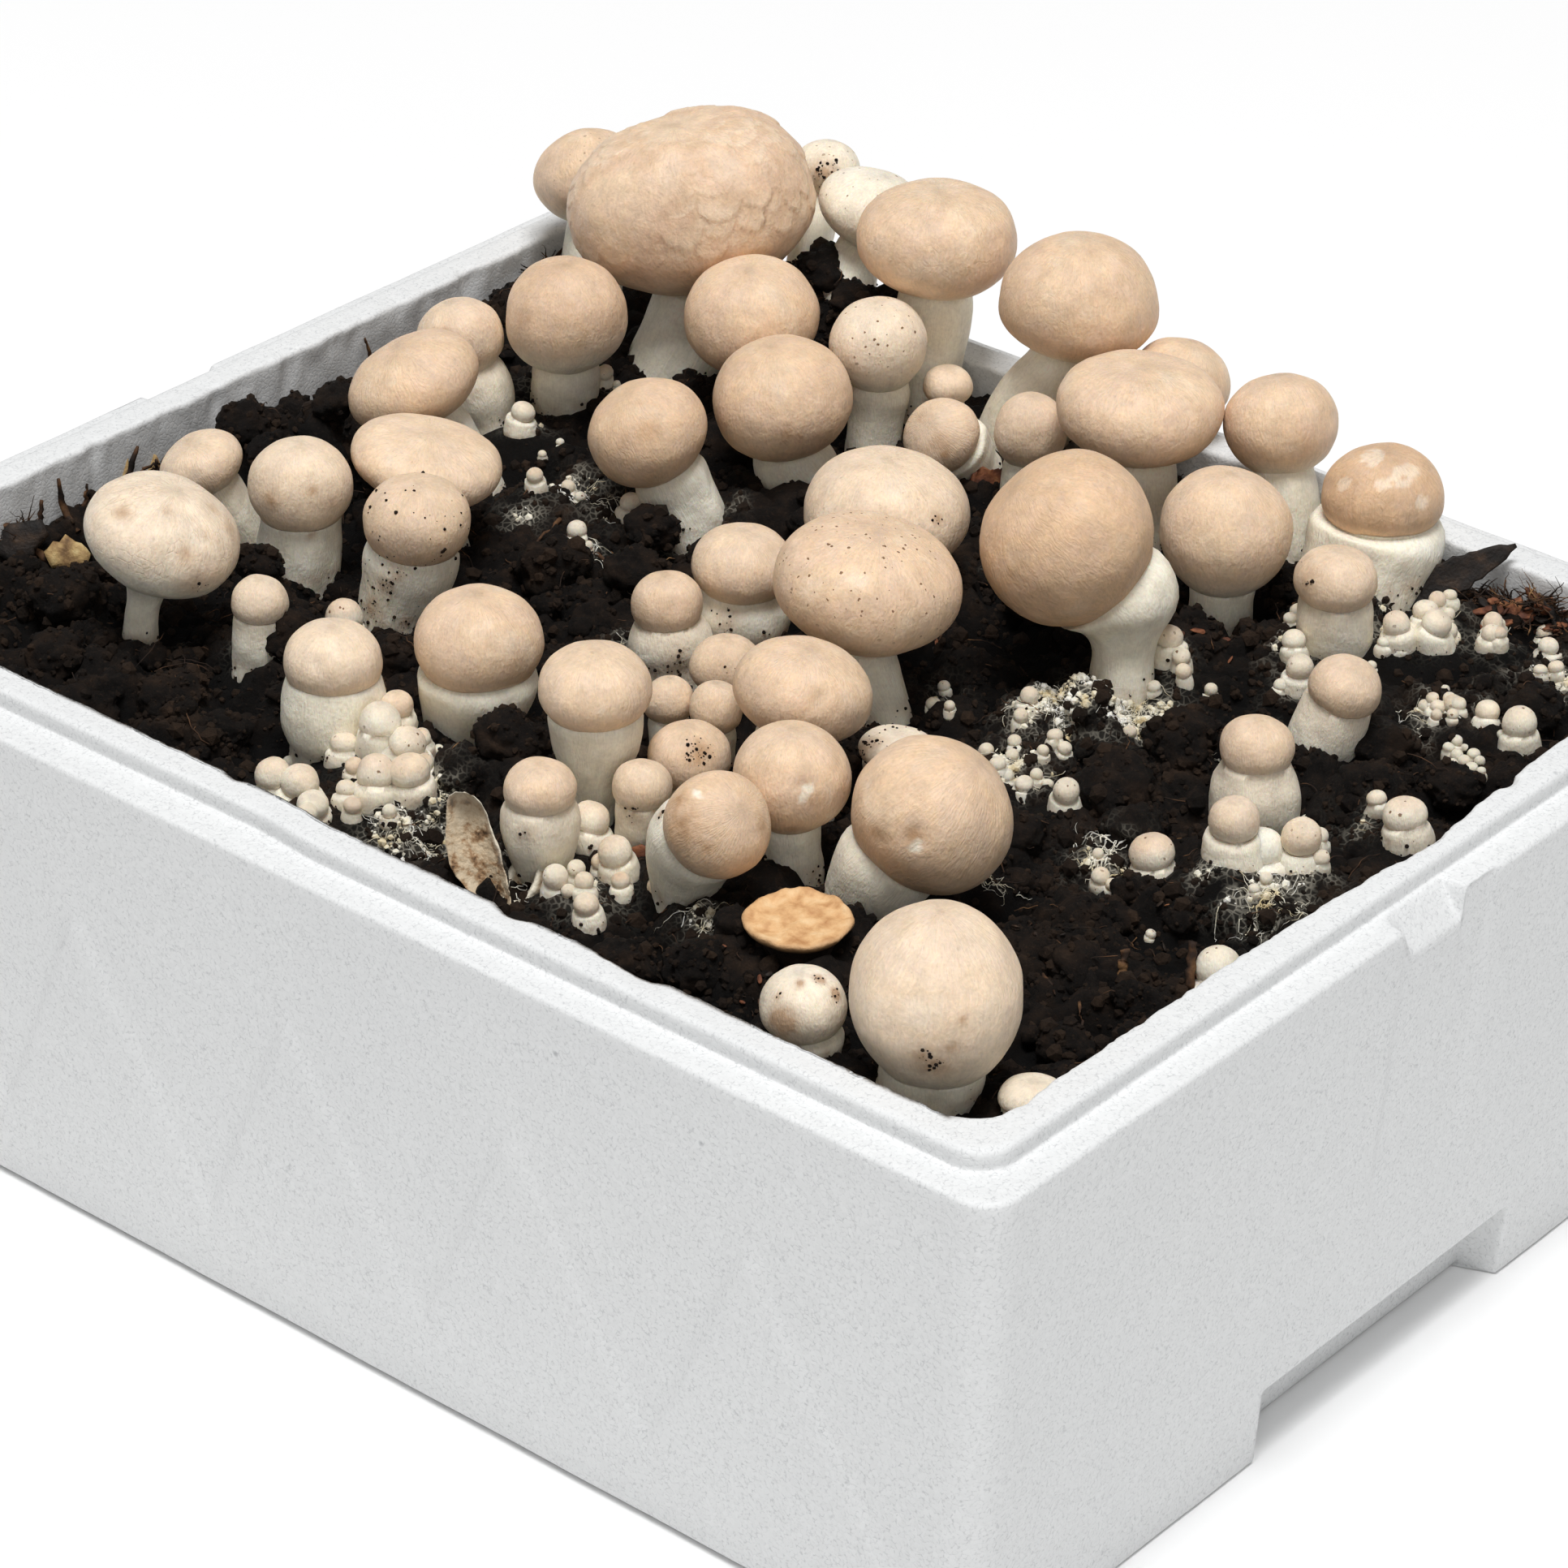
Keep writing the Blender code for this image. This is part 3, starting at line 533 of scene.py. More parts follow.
def makeFoamBox(material):
    columns, rows = boxColumns(), boxRows()
    places = []  # side, share or corner angle, push, cut
    for side in range(4):
        places += [(side, share, None, push, cut) for share, push, cut in columns[side]]
        steps = foamBox["cornerSteps"]
        places += [(side, None, (step + 1) / (steps + 1), 0.0, 0.0) for step in range(steps)]
    width = len(places)
    points = np.zeros((len(rows), width, 3))
    for r, row in enumerate(rows):
        for c, (side, share, corner, _, _) in enumerate(places):
            points[r, c] = boxPoint(side, share, row, corner)
    push = np.array([row[4] for row in rows])[:, None] * np.array([p[3] for p in places])[None, :]
    cut = np.array([p[4] for p in places])[None, :]
    parts = np.array([row[5] for row in rows])
    side = np.array([p[0] if p[2] is None else -1 for p in places])
    x, y, z = points[..., 0], points[..., 1], points[..., 2]
    # The far end is the near end turned round
    turned = np.where(side == 0, 1, np.where(side == 2, -1, 0))[None, :]
    x -= turned * push * handRecess["depth"]
    # Notch: the wall below it is squeezed down, and the ledge slopes away outwards
    drop = cut * lidNotch["depth"]
    wall = (parts == "wall")[:, None] & (turned != 0)
    z -= np.where(wall, drop * np.clip((z - 100) / (foamBox["ledgeHeight"] - 100), 0, 1), 0)
    ledge = (parts == "ledge")[:, None] & (turned != 0)
    out = np.abs(x) - (foamBox["ledge"][0] - lidNotch["reach"])
    z -= np.where(ledge, cut * lidNotch["depth"] / lidNotch["reach"] * np.clip(out, 0, None), 0)
    # Faint channel in the wall under the notch
    alongY = y * np.where(turned == 0, 1, turned)
    channel = smoothStep(alongY, -13, -9) * (1 - smoothStep(alongY, 22, 27)) * smoothStep(z, 42, 70)
    x -= np.where(wall, turned * 0.8 * channel, 0)
    # Zigzag relief on the long walls
    longWall = (parts == "wall")[:, None] & np.isin(side, (1, 3))[None, :]
    way = np.where(y > 0, 1, -1)
    y += np.where(longWall, way * zigzag["raised"] * zigzagRelief(-way * x, z), 0)
    # The lip on the near long wall stands a little farther out right of a short shift
    lip = np.isin(parts, ("lipOutside", "lipTop", "inside"))[:, None] & (y < -100) & (z > 110)
    step = smoothStep(x, -22, 0)
    inwards = (parts == "inside")[:, None]
    y += np.where(lip & ~inwards, 1.6 * (1 - step), 0)
    y -= np.where(lip & inwards, 1.6 * step * smoothStep(z, 110, 130), 0)
    # The near short wall's lip is worn wider in its middle
    bow = 1.6 * smoothStep(y, -60, -5) * (1 - smoothStep(y, 40, 75)) + 2.6 * np.exp(-((y - 16) / 17) ** 2)
    bedward = np.where(parts == "inside", 1.0, 0.0)
    bedward[parts == "lipTop"] = (0.05, 0.25, 0.55, 0.85)
    x += np.where(x > 150, bow * smoothStep(z, 112, 132) * bedward[:, None], 0)
    # Uneven moulding, and the nibbled inner edge of the lip
    flat = points.reshape(-1, 3)
    faces = ringFaces(len(rows), width)
    normals = pointNormals(flat, faces)
    flat += normals * (0.16 * waves(flat, 23) + 0.05 * waves(flat, 5, 3.0))[:, None]
    edge = (parts == "inside")[:, None] & (z > 120)
    depth = np.where(edge, smoothStep(z, 120, 134), 0)
    depth = np.where((parts == "lipTop")[:, None], 0.9 * bedward[:, None], depth).reshape(-1)
    here = np.column_stack([flat[:, 0], flat[:, 1], flat[:, 2] * 0.4])
    wander = 0.8 * waves(here, 9, 11.0) + 1.1 * waves(here, 2.9, 5.0)
    bites = np.clip(waves(here, 14, 21.0) - 0.32, 0, None) * 5.5
    outwards = np.column_stack([flat[:, 0] / 182, flat[:, 1] / 142, flat[:, 2] * 0])
    onX = np.abs(outwards[:, 0]) > np.abs(outwards[:, 1])
    outwards = np.where(onX[:, None], np.column_stack([np.sign(flat[:, 0]), 0 * flat[:, 0], 0 * flat[:, 0]]),
                        np.column_stack([0 * flat[:, 0], np.sign(flat[:, 1]), 0 * flat[:, 0]]))
    flat += outwards * (depth * (foamBox["nibble"] * wander + bites))[:, None]
    flat[:, 2] -= depth * bites * 0.45
    flat[:, 2] = np.maximum(flat[:, 2], 0)
    faces.append(tuple(reversed(range(width))))
    faces.append(tuple(range((len(rows) - 1) * width, len(rows) * width)))
    return makePiece("foamBox", flat, faces, material, ["box"])


foam = foamMaterial()
foamPiece = makeFoamBox(foam)
report(f"foam box has {len(foamPiece.data.polygons)} faces")


# The casing soil

casingSoil = {
    "front": 120.0,  # height of the bed at the near wall
    "back": 128.0,
    "climbFrom": -20.0,
    "climbTo": 135.0,
    "rough": 2.2,
    "roughSize": 34.0,
    "corner": 14.0,
    "step": 1.15,  # between points of its mesh
    "lumps": ((19, 7.0), (9, 3.6), (4.4, 1.9)),  # how wide and how tall its lumps are, at three scales
    "strayClods": 210,
    "fineClod": 4.6,  # a clod of this radius or more has the finer mesh
    "mounds": [  # x, y, radius, height
        (-84, 138, 21, 22), (-7, -82, 12.5, 13), (-155, -6, 20, 20), (-96, -64, 12, 9), (-150, -112, 26, -3),
        (134, 132, 20, 3), (98, 116, 24, 6), (97, 110, 15, 5), (-90, -83, 13, 6), (-117, -46, 10, 5),
        (70, 100, 19, -3), (60, 66, 26, 2),
    ],
    "clods": [  # single clods: x, y, height of the middle, radius
        (-84, -77, 130, 7.5), (-117, -53, 127, 6), (-150, 8, 139, 6), (-160, -14, 137, 7), (-148, -18, 135, 5.5),
        (-8, -80, 130, 8), (2, -86, 125, 6.5), (-14, -90, 124, 7), (105, 8, 122, 11), (118, -2, 120, 9),
        (96, -22, 120, 8), (140, 66, 123, 9), (130, 74, 124, 7), (80, 112, 127, 6), (-60, 30, 125, 7),
        (-68, 2, 123, 9), (-50, 12, 122, 8), (-38, 30, 124, 7), (-150, -88, 120, 10), (-132, -108, 118, 8),
        (-96, -104, 118, 9), (-76, -108, 118, 7), (-110, -120, 117, 9), (-160, -62, 121, 8), (-92, 137, 150, 8),
        (-76, 130, 149, 6.5), (-70, 140, 146, 7), (-99, 143, 146, 7), (126, -70, 119, 9), (146, -58, 119, 8),
        (108, -102, 118, 9), (132, -96, 118, 7), (78, -112, 118, 8), (64, -122, 117, 8), (40, -128, 117, 7),
        (160, -84, 118, 7), (76, 34, 124, 7), (104, 34, 123, 9), (118, 44, 123, 7), (-30, 60, 125, 7),
        (22, 78, 126, 7), (34, 66, 126, 8), (-66, -60, 121, 8), (-60, -46, 122, 9), (-40, -40, 122, 8),
        (150, 48, 123, 8), (164, 60, 124, 7), (160, 100, 126, 8), (-164, 66, 126, 9), (-168, 96, 128, 8),
    ],
}

mushrooms = {  # cap: x, y, z; size: radius, dome, under; foot: x, y; stem: neck and base radius; lean
    1: ((-121, 117, 166), (32.5, 25, 21), (-121, 107), (13, 14), (-0.18, -0.15, 1)),
    2: ((-170, 130, 155), (15.6, 14, 12), (-161, 122), (7, 8), None),
    3: ((-109, 157, 167), (9.3, 9, 7), (-100, 137), (5, 5.5), (-0.1, 0.4, 1)),
    4: ((-86, 149, 165), (15.5, 11, 9), (-84, 137), (6, 6.5), (0.2, 0.3, 1)),
    5: ((-53, 135, 171), (21.2, 15.5, 13), (-54, 130), (9, 9.5), (0, 0, 1)),
    6: ((-8, 137, 166.5), (20.3, 18.5, 13), (-23, 130), (9, 10.5), (0.05, 0, 1)),
    7: ((19, 146, 150.5), (13.2, 11, 9), (18, 127), (5, 5.5), (0.1, 0.3, 1)),
    8: ((29, 114, 158), (21, 11.5, 13), (33, 112), (9, 9.5), (0, 0, 1)),
    9: ((57, 137, 155), (14.5, 12, 14), (66, 131.5), (7.8, 8.6), None),
    10: ((94, 129, 150), (15.3, 12.5, 11), (94, 123), (14, 16.5), (0, 0, 1)),
    11: ((105, 94, 144), (10.2, 8.5, 8), (106, 95), (8.5, 7.5), (0, 0, 1)),
    12: ((-84, 97, 153), (17.6, 15.5, 14), (-86, 102), (8, 9), None),
    13: ((-123, 68, 151), (16.2, 15.5, 15), (-128, 73), (8, 9), (0.1, -0.1, 1)),
    14: ((-145, 51, 143), (11.6, 11, 10), (-139, 54), (7, 8), None),
    15: ((-133, 20, 146), (18, 11, 11), (-119, 29), (8, 9), (-0.32, -0.27, 1)),
    16: ((-104, -6, 143), (19, 8.5, 9), (-104, -2), (8, 9), (0.16, 0.1, 1)),
    17: ((-82, -33, 144), (13.4, 11, 11), (-87, -35), (10.5, 10.5), (0.1, 0, 1)),
    18: ((-149, -41, 140), (11, 7, 8), (-142, -33), (5.5, 6.5), None),
    19: ((-119, -36, 142), (13, 12.5, 12), (-121, -37), (9.5, 11), (0, 0, 1)),
    20: ((-120, -83, 146), (19.5, 13, 13), (-125, -87), (5, 4.6), (0.25, 0.2, 1)),
    21: ((-90, -80, 137), (7.1, 6.5, 6), (-90, -81), (5.8, 6), (0, 0, 1)),
    22: ((173, -113, 125), (7.6, 4.5, 3), (173, -113), (6, 6), (0, 0, 1)),
    23: ((-53, -93, 140), (11.8, 9.5, 9), (-54, -95), (10.8, 12.3), (0, 0, 1)),
    24: ((-31, -66, 142), (15.4, 13, 12), (-34, -69), (13.5, 11), (0, 0, 1)),
    25: ((15, -76, 151), (13.6, 10, 9), (15, -78), (11, 7), (0, 0, 1)),
    26: ((24, -105, 140), (8.5, 7, 7), (24, -104), (7.4, 6.5), (0, 0, 1)),
    27: ((-71, 41, 144), (15.6, 13.5, 13), (-60, 48), (8.5, 9.5), (-0.4, -0.3, 1)),
    28: ((-56, 76, 146), (18.3, 15.5, 15), (-49, 80), (9, 11), (-0.1, -0.15, 1)),
    29: ((-51, 109, 152), (12.8, 11.5, 13), (-50, 107), (7, 7.5), (0, 0, 1)),
    30: ((-38, 122, 139), (6.6, 5.5, 5), (-38, 121), (4.5, 4.5), (0, 0, 1)),
    31: ((-22, 100, 138), (10.2, 8.5, 7), (-17, 111), (6.5, 7), (-0.1, -0.7, 0.7)),
    32: ((0, 108, 144), (9.2, 10, 10), (0, 107), (6, 6.5), (0, 0, 1)),
    33: ((1, 48, 144), (20.5, 14.5, 14), (2, 50), (10, 11), (0, 0, 1)),
    34: ((29, 7, 150), (22.6, 14.5, 15), (37, 6), (8.5, 8), (0.15, 0.1, 1)),
    35: ((58, 47, 157), (21.8, 20, 20), (73, 51), (13, 8), (-0.68, -0.56, 1)),
    36: ((69, 98, 144), (16.6, 15, 17), (69, 98), (8, 8), (0, 0, 1)),
    37: ((-12, 9, 140), (12.6, 9.5, 9), (-11, 9), (10.5, 11), (0, 0, 1)),
    38: ((-16, -15, 137), (8.8, 8.5, 8), (-14, -14), (7.5, 7), (-0.1, 0, 1)),
    39: ((9, -22, 132), (9, 7.5, 6), (9, -22), (5, 5), (0, 0, 1)),
    40: ((46, -38, 146), (16.2, 11, 11), (46, -37), (8, 9), (0.15, 0.1, 1)),
    41: ((23, -42, 134), (6.4, 7, 6), (23, -42), (4.5, 4.5), (0, 0, 1)),
    42: ((10, -44, 132), (6.1, 6.5, 5), (10, -44), (4.5, 4.5), (0, 0, 1)),
    43: ((31, -61, 132), (9.8, 8.5, 7), (31, -61), (6, 6), (0, 0, 1)),
    44: ((66, -66, 142), (13.8, 13, 12), (67, -65), (7, 7.5), (0, 0, 1)),
    45: ((34, -81, 134), (7, 6.5, 6), (33, -80), (5.5, 5.5), (0, 0, 1)),
    46: ((67, -93, 142), (12.4, 11, 11), (54, -89), (10.4, 8), (0.7, -0.07, 0.7)),
    47: ((101, -58, 143), (18.7, 17, 17), (87, -65), (10, 10), (0.6, 0.45, 1)),
    48: ((150, -118, 143.5), (18.8, 21, 20.5), (149, -119), (11, 11.5), (0, 0, 1)),
    49: ((120, -126, 132), (9.6, 8.5, 8), (122, -125), (6, 6.5), (-0.1, -0.1, 1)),
    50: ((58, -17, 126), (9, 4.5, 3), (58, -17), (7, 7), (0, 0, 1)),
    51: ((132, 60, 138), (8.8, 8, 7), (126.5, 58), (7.5, 8.5), (0.25, 0.1, 1)),
    52: ((133, 23, 138), (8.8, 7.5, 7), (133, 25), (8.2, 10), (0, 0, 1)),
}

pinGroups = {  # young buttons: x, y, height of the middle, radius
    "pinsLeft": [
        (-38, -87, 131, 4.0), (-35, -96, 131, 5.0), (-24, -109, 127, 4.6), (-18, -104, 128, 5.0),
        (-27, -95, 128, 4.5), (-41, -84, 129, 3.5), (-37, -93, 129, 3.6), (-42, -101, 125, 3.3),
        (-29, -89, 126, 3.0), (-22, -95, 125, 2.5), (-33, -107, 125, 2.2), (-28, -115, 124, 2.4),
    ],
    "pinsFront": [
        (-45, -122, 124, 4.4), (-38, -120, 124, 4.6), (-30, -124, 123, 3.8), (-28, -128, 123, 2.6),
        (-23, -118, 123, 2.2),
    ],
    "pinsRight": [
        (119, 101, 134, 3.4), (126, 108, 134, 3.8), (120, 112, 134, 3.2), (120, 117, 135, 2.2),
        (121, 121, 135, 1.8), (134, 121, 132, 2.6), (137, 119, 131, 2.0),
    ],
}
pinNodes = {"pinsLeft": "pin_clump_left", "pinsFront": "pin_clump_front", "pinsRight": "pin_clump_right"}
twinButtons = [(145, -2, 134, 5.9, 0.8), (157, 8, 130, 4.7, 0.8), (150, 3, 126, 5.2, 0.0)]
singleButtons = [  # buttons that stand alone or in loose groups, past the limit of nodes
    (-88, -53, 122.5, 4.8, 0.9), (170, 31, 131, 5.3, 0.7), (171, -43, 124, 5.2, 0.3), (129, -11, 123, 5.4, 0.9),
    (35, -112, 124, 3.0), (36, -106, 124, 2.2), (41, -109, 124, 2.3), (47, -115, 123, 3.0), (26, -90, 126, 4.5),
    (39, -96, 125, 4.0), (156, 86, 130, 3.0), (165, 86, 130, 4.2), (147, 85, 129, 2.4), (144, 83, 128, 2.0),
    (149, 123, 130, 2.6), (102, 82, 131, 3.0), (109, 75, 129, 3.4), (93, 97, 130, 2.4), (77, 65, 130, 3.5),
    (83, 62, 128, 2.4), (86, 59, 126, 2.0), (100, -6, 126, 3.2), (156, 17, 126, 2.2), (162, 9, 126, 2.2),
    (158, 37, 128, 2.4), (-122, 50, 130, 3.2), (-98, 28, 128, 2.2), (-119, 79, 132, 2.2), (-71, 14, 127, 2.6),
    (-72, 36, 126, 3.0),
]
buttons = [pin for group in (*pinGroups.values(), twinButtons, singleButtons) for pin in group]


def bedHalf(z):
    share = (z - foamBox["floorHeight"]) / (foamBox["height"] - 1 - foamBox["floorHeight"])
    return [low + (high - low) * share for low, high in zip(foamBox["bedFloor"], foamBox["lipInside"])]


def bedHeight(x, y):
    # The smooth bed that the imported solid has
    share = min(max((y - casingSoil["climbFrom"]) / (casingSoil["climbTo"] - casingSoil["climbFrom"]), 0), 1)
    z = casingSoil["front"] + (casingSoil["back"] - casingSoil["front"]) * share * share * (3 - 2 * share)
    size = casingSoil["roughSize"]
    z += casingSoil["rough"] * noise.noise(Vector((x / size, y / size, 3.7)))
    for moundX, moundY, radius, height in casingSoil["mounds"]:
        away = math.hypot(x - moundX, y - moundY) / radius
        if away < 1:
            z += height * (1 - away * away)
    return z


def soilHeight(x, y):
    # The bed with its clods, crumbled at three scales
    place = Vector((x, y, 0.0))
    bend = Vector((noise.noise(place / 8), noise.noise(place / 8 + Vector((5, 3, 1))), 0)) * 5
    z = 0.0
    for size, tall in casingSoil["lumps"]:
        near = noise.voronoi((place + bend * min(1.0, size / 10)) / size)[0][0]
        z += tall * (0.42 - 1.9 * near * near)
    return bedHeight(x, y) + max(z, -6.5) + 1.0 * noise.noise(place / 2.6) + 0.8 * noise.noise(place / 1.4)


def clearings():
    # Where the soil lies under what grows low: x, y, height there, how wide, and whether soil heaps up to it
    spots = [(x, y, z - size[2] * 0.9, size[0] * 0.7, False) for (x, y, z), size, _, _, _ in mushrooms.values()]
    return spots + [(pin[0], pin[1], pin[2] - 0.7 * pin[3], pin[3], True) for pin in buttons]


def soilMaterial():
    # Peat casing, crumbled and damp: near black, some crumbs drier brown, painted shade darkening its hollows and
    # lightening its high places, a little shine where wet
    kit = shaderKit("dampPeatCasing", IOR=1.4, Specular_IOR_Level=0.25)
    patch = kit.texture(8 * mm, 6.0, roughness=0.62)
    ground = kit.ramp(patch, (0.32, "0A0807"), (0.48, "16110E"), (0.62, "2A2019"), (0.8, "453529"))
    light = kit.spread(kit.texture(0.9 * mm, 4.0, roughness=0.7), 0.56, 0.8, 0.0, 0.6)
    dry = kit.maths("MULTIPLY_ADD", kit.layer("shade"), 0.45, light, clamp=True)
    # The colour is scaled by the soil's relief: painted shade, darker in the hollows and lighter on the high
    # places
    sunk = kit.scaled(kit.blended(dry, ground, "4E3C2E"), kit.spread(kit.layer("relief"), -5.0, 1.5, 0.15, 1.1))
    # White mould: threads so fine that they read as a bloom over the peat
    strand = kit.spread(kit.cells(1.6 * mm, edge=True)[0], 0.02, 0.16, 1.0, 0.12)
    white = kit.blended(kit.times(strand, kit.layer("mould")), sunk, "E4DDCB")
    wet = kit.spread(patch, 0.35, 0.6, 0.45, 0.95)
    return kit.finish(white, wet, kit.texture(1.5 * mm, 8.0, roughness=0.78), 1.0, 1.2)


def shapeSoil():
    # The top of the bed as a grid of points, how deep each lies under the smooth bed, and its faces
    half = [h - 0.3 for h in bedHalf(casingSoil["front"])]
    across, along = (round(2 * h / casingSoil["step"]) for h in half)
    grid, relief = [], []
    for row in range(along + 1):
        for column in range(across + 1):
            x, y = half[0] * (2 * column / across - 1), half[1] * (2 * row / along - 1)
            over = Vector((abs(x) - half[0] + casingSoil["corner"], abs(y) - half[1] + casingSoil["corner"]))
            if min(over) > 0 and over.length > casingSoil["corner"]:
                over *= casingSoil["corner"] / over.length
                x = math.copysign(half[0] - casingSoil["corner"] + over.x, x)
                y = math.copysign(half[1] - casingSoil["corner"] + over.y, y)
            z = soilHeight(x, y)
            grid.append((x, y, z))
            relief.append(z - bedHeight(x, y))
    grid = np.array(grid)
    relief = np.array(relief)
    for x, y, height, radius, heaped in clearings():
        away = np.hypot(grid[:, 0] - x, grid[:, 1] - y)
        near = away < radius + 12
        beyond = np.clip(away[near] - radius, 0, None)
        if heaped:
            heap = height - 0.5 * radius + 0.35 * np.clip(relief[near], -3, 2) - beyond * 0.55
            grid[near, 2] = np.maximum(grid[near, 2], heap)
        ceiling = height + beyond * 0.9
        high = grid[near, 2]
        grid[near, 2] = np.where(high > ceiling, ceiling + 0.15 * (high - ceiling), high)
    inside = (np.abs(grid[:, 0]) < half[0] - 3) & (np.abs(grid[:, 1]) < half[1] - 3)
    grid[:, 0] += np.where(inside, 1.3 * waves(grid, 4.5, 7.0), 0)
    grid[:, 1] += np.where(inside, 1.3 * waves(grid, 4.5, 17.0), 0)
    width = across + 1
    top = [(r * width + c, r * width + c + 1, (r + 1) * width + c + 1, (r + 1) * width + c)
           for r in range(along) for c in range(across)]
    border = [c for c in range(width)] + [r * width + across for r in range(1, along + 1)]
    border += [along * width + c for c in range(across - 1, -1, -1)]
    border += [r * width for r in range(along - 1, 0, -1)]
    return grid, relief, top, border, half


soilGrid, soilRelief, soilFaces, soilBorder, soilHalf = shapeSoil()
soilTree = BVHTree.FromPolygons([tuple(p) for p in soilGrid], soilFaces)
aboveAll = 260  # mm, over every cap


def groundAt(x, y):
    hit = soilTree.ray_cast(Vector((x, y, aboveAll)), -up)[0]
    return hit.z if hit else bedHeight(x, y)


def standAt(u, v, lift=0.0):
    # The place on the line of sight through a pixel that stands this far above the soil under it
    start, direction = pixelRay(u, v)
    point = soilTree.ray_cast(start, direction)[0]
    if point is None:
        point = start + direction * ((125 - start.z) / direction.z)
    for _ in range(8):
        need = lift - (point.z - groundAt(point.x, point.y))
        point = point - direction * (0.7 * need / -direction.z)
    return point


def besides(point, across, down):
    # A point moved by so many pixels of the photograph, in the plane square to the line of sight
    right, upright, back = viewAxes()
    away = (Vector(photoView["place"]) - point).dot(back)
    pixel = away * photoView["sensor"] / photoView["lens"] / photoView["pixels"]
    return point + right * (across * pixel) - upright * (down * pixel)


# White mould seen in the soil: pixel of the photograph, radius in mm, amount
mouldPatches = [
    (1300, 868, 8, 1.6), (1335, 862, 10, 1.8), (1375, 872, 9, 1.8), (1410, 885, 8, 1.6), (1270, 872, 7, 1.4),
    (1225, 935, 9, 1.0), (1262, 960, 7, 0.9), (1160, 862, 6, 0.7), (515, 1000, 9, 0.9), (548, 960, 7, 0.9),
    (490, 1030, 9, 0.8), (866, 1130, 6, 0.8), (1365, 1060, 9, 0.8), (1560, 1110, 10, 0.9), (1490, 1075, 6, 0.5),
    (1715, 775, 9, 1.0), (1765, 765, 8, 1.0), (1840, 785, 6, 0.9), (1790, 860, 8, 0.8), (1740, 900, 7, 0.6),
    (1590, 800, 7, 0.8), (1600, 870, 7, 0.7), (1900, 830, 9, 1.0), (690, 480, 9, 0.8), (650, 520, 6, 0.7),
    (745, 470, 6, 0.5), (705, 605, 8, 0.9), (760, 625, 8, 0.8), (820, 655, 7, 0.6), (640, 640, 7, 0.6),
    (730, 668, 5, 0.5), (470, 960, 9, 0.7), (640, 1060, 8, 0.6), (720, 1090, 9, 0.8), (900, 620, 5, 0.4),
    (300, 790, 6, 0.5), (780, 790, 6, 0.5), (1440, 810, 6, 0.6), (1220, 700, 4, 0.3), (1680, 1010, 7, 0.5),
    (1620, 1070, 6, 0.6), (560, 1045, 7, 0.6),
]


def mouldOver(points):
    total = np.zeros(len(points))
    for u, v, radius, amount in mouldPatches:
        place = np.array(standAt(u, v))
        total += amount * np.exp(-(np.linalg.norm(points - place, axis=1) / radius) ** 2 * 1.3)
    patchy = np.clip(0.6 + 1.6 * waves(points, 5.0, 31.0), 0, 1)
    return np.clip(total * patchy, 0, 1)


soilMould = mouldOver(soilGrid)


def makeSoil(material):
    floorHalf = [h - 0.3 for h in foamBox["bedFloor"]]
    points, faces = [soilGrid], list(soilFaces)
    count = len(soilGrid)
    rings = [soilBorder]
    for level, share in enumerate((0.12, 1.0)):
        ring = soilGrid[soilBorder].copy()
        for axis in (0, 1):
            ring[:, axis] *= 1 + (floorHalf[axis] / soilHalf[axis] - 1) * share
        ring[:, 2] += (foamBox["floorHeight"] + 0.3 - ring[:, 2]) * share
        points.append(ring)
        rings.append(list(range(count + level * len(ring), count + (level + 1) * len(ring))))
    for high, low in zip(rings, rings[1:]):
        faces += [(low[i], low[(i + 1) % len(low)], high[(i + 1) % len(low)], high[i]) for i in range(len(low))]
    faces.append(tuple(reversed(rings[-1])))
    rest = np.zeros(2 * len(soilBorder))
    layers = {"relief": np.concatenate([soilRelief, rest]), "mould": np.concatenate([soilMould, rest])}
    points = np.concatenate(points)
    return makePiece("casingSoil", points, faces, material, ["soil"], layers=layers)


soil = soilMaterial()
soilPiece = makeSoil(soil)
report(f"casing soil has {len(soilPiece.data.polygons)} faces")


# The mushrooms

mushroomShape = {
    "facet": 0.9,  # width of a face at the cap's edge
    "scaleFacet": 0.62,  # the same on a scaly cap
    "stemRings": 20,
    "rooted": 9.0,  # how far the foot goes on below the soil
    "crease": 0.3,  # depth of the fold where cap meets stem
}


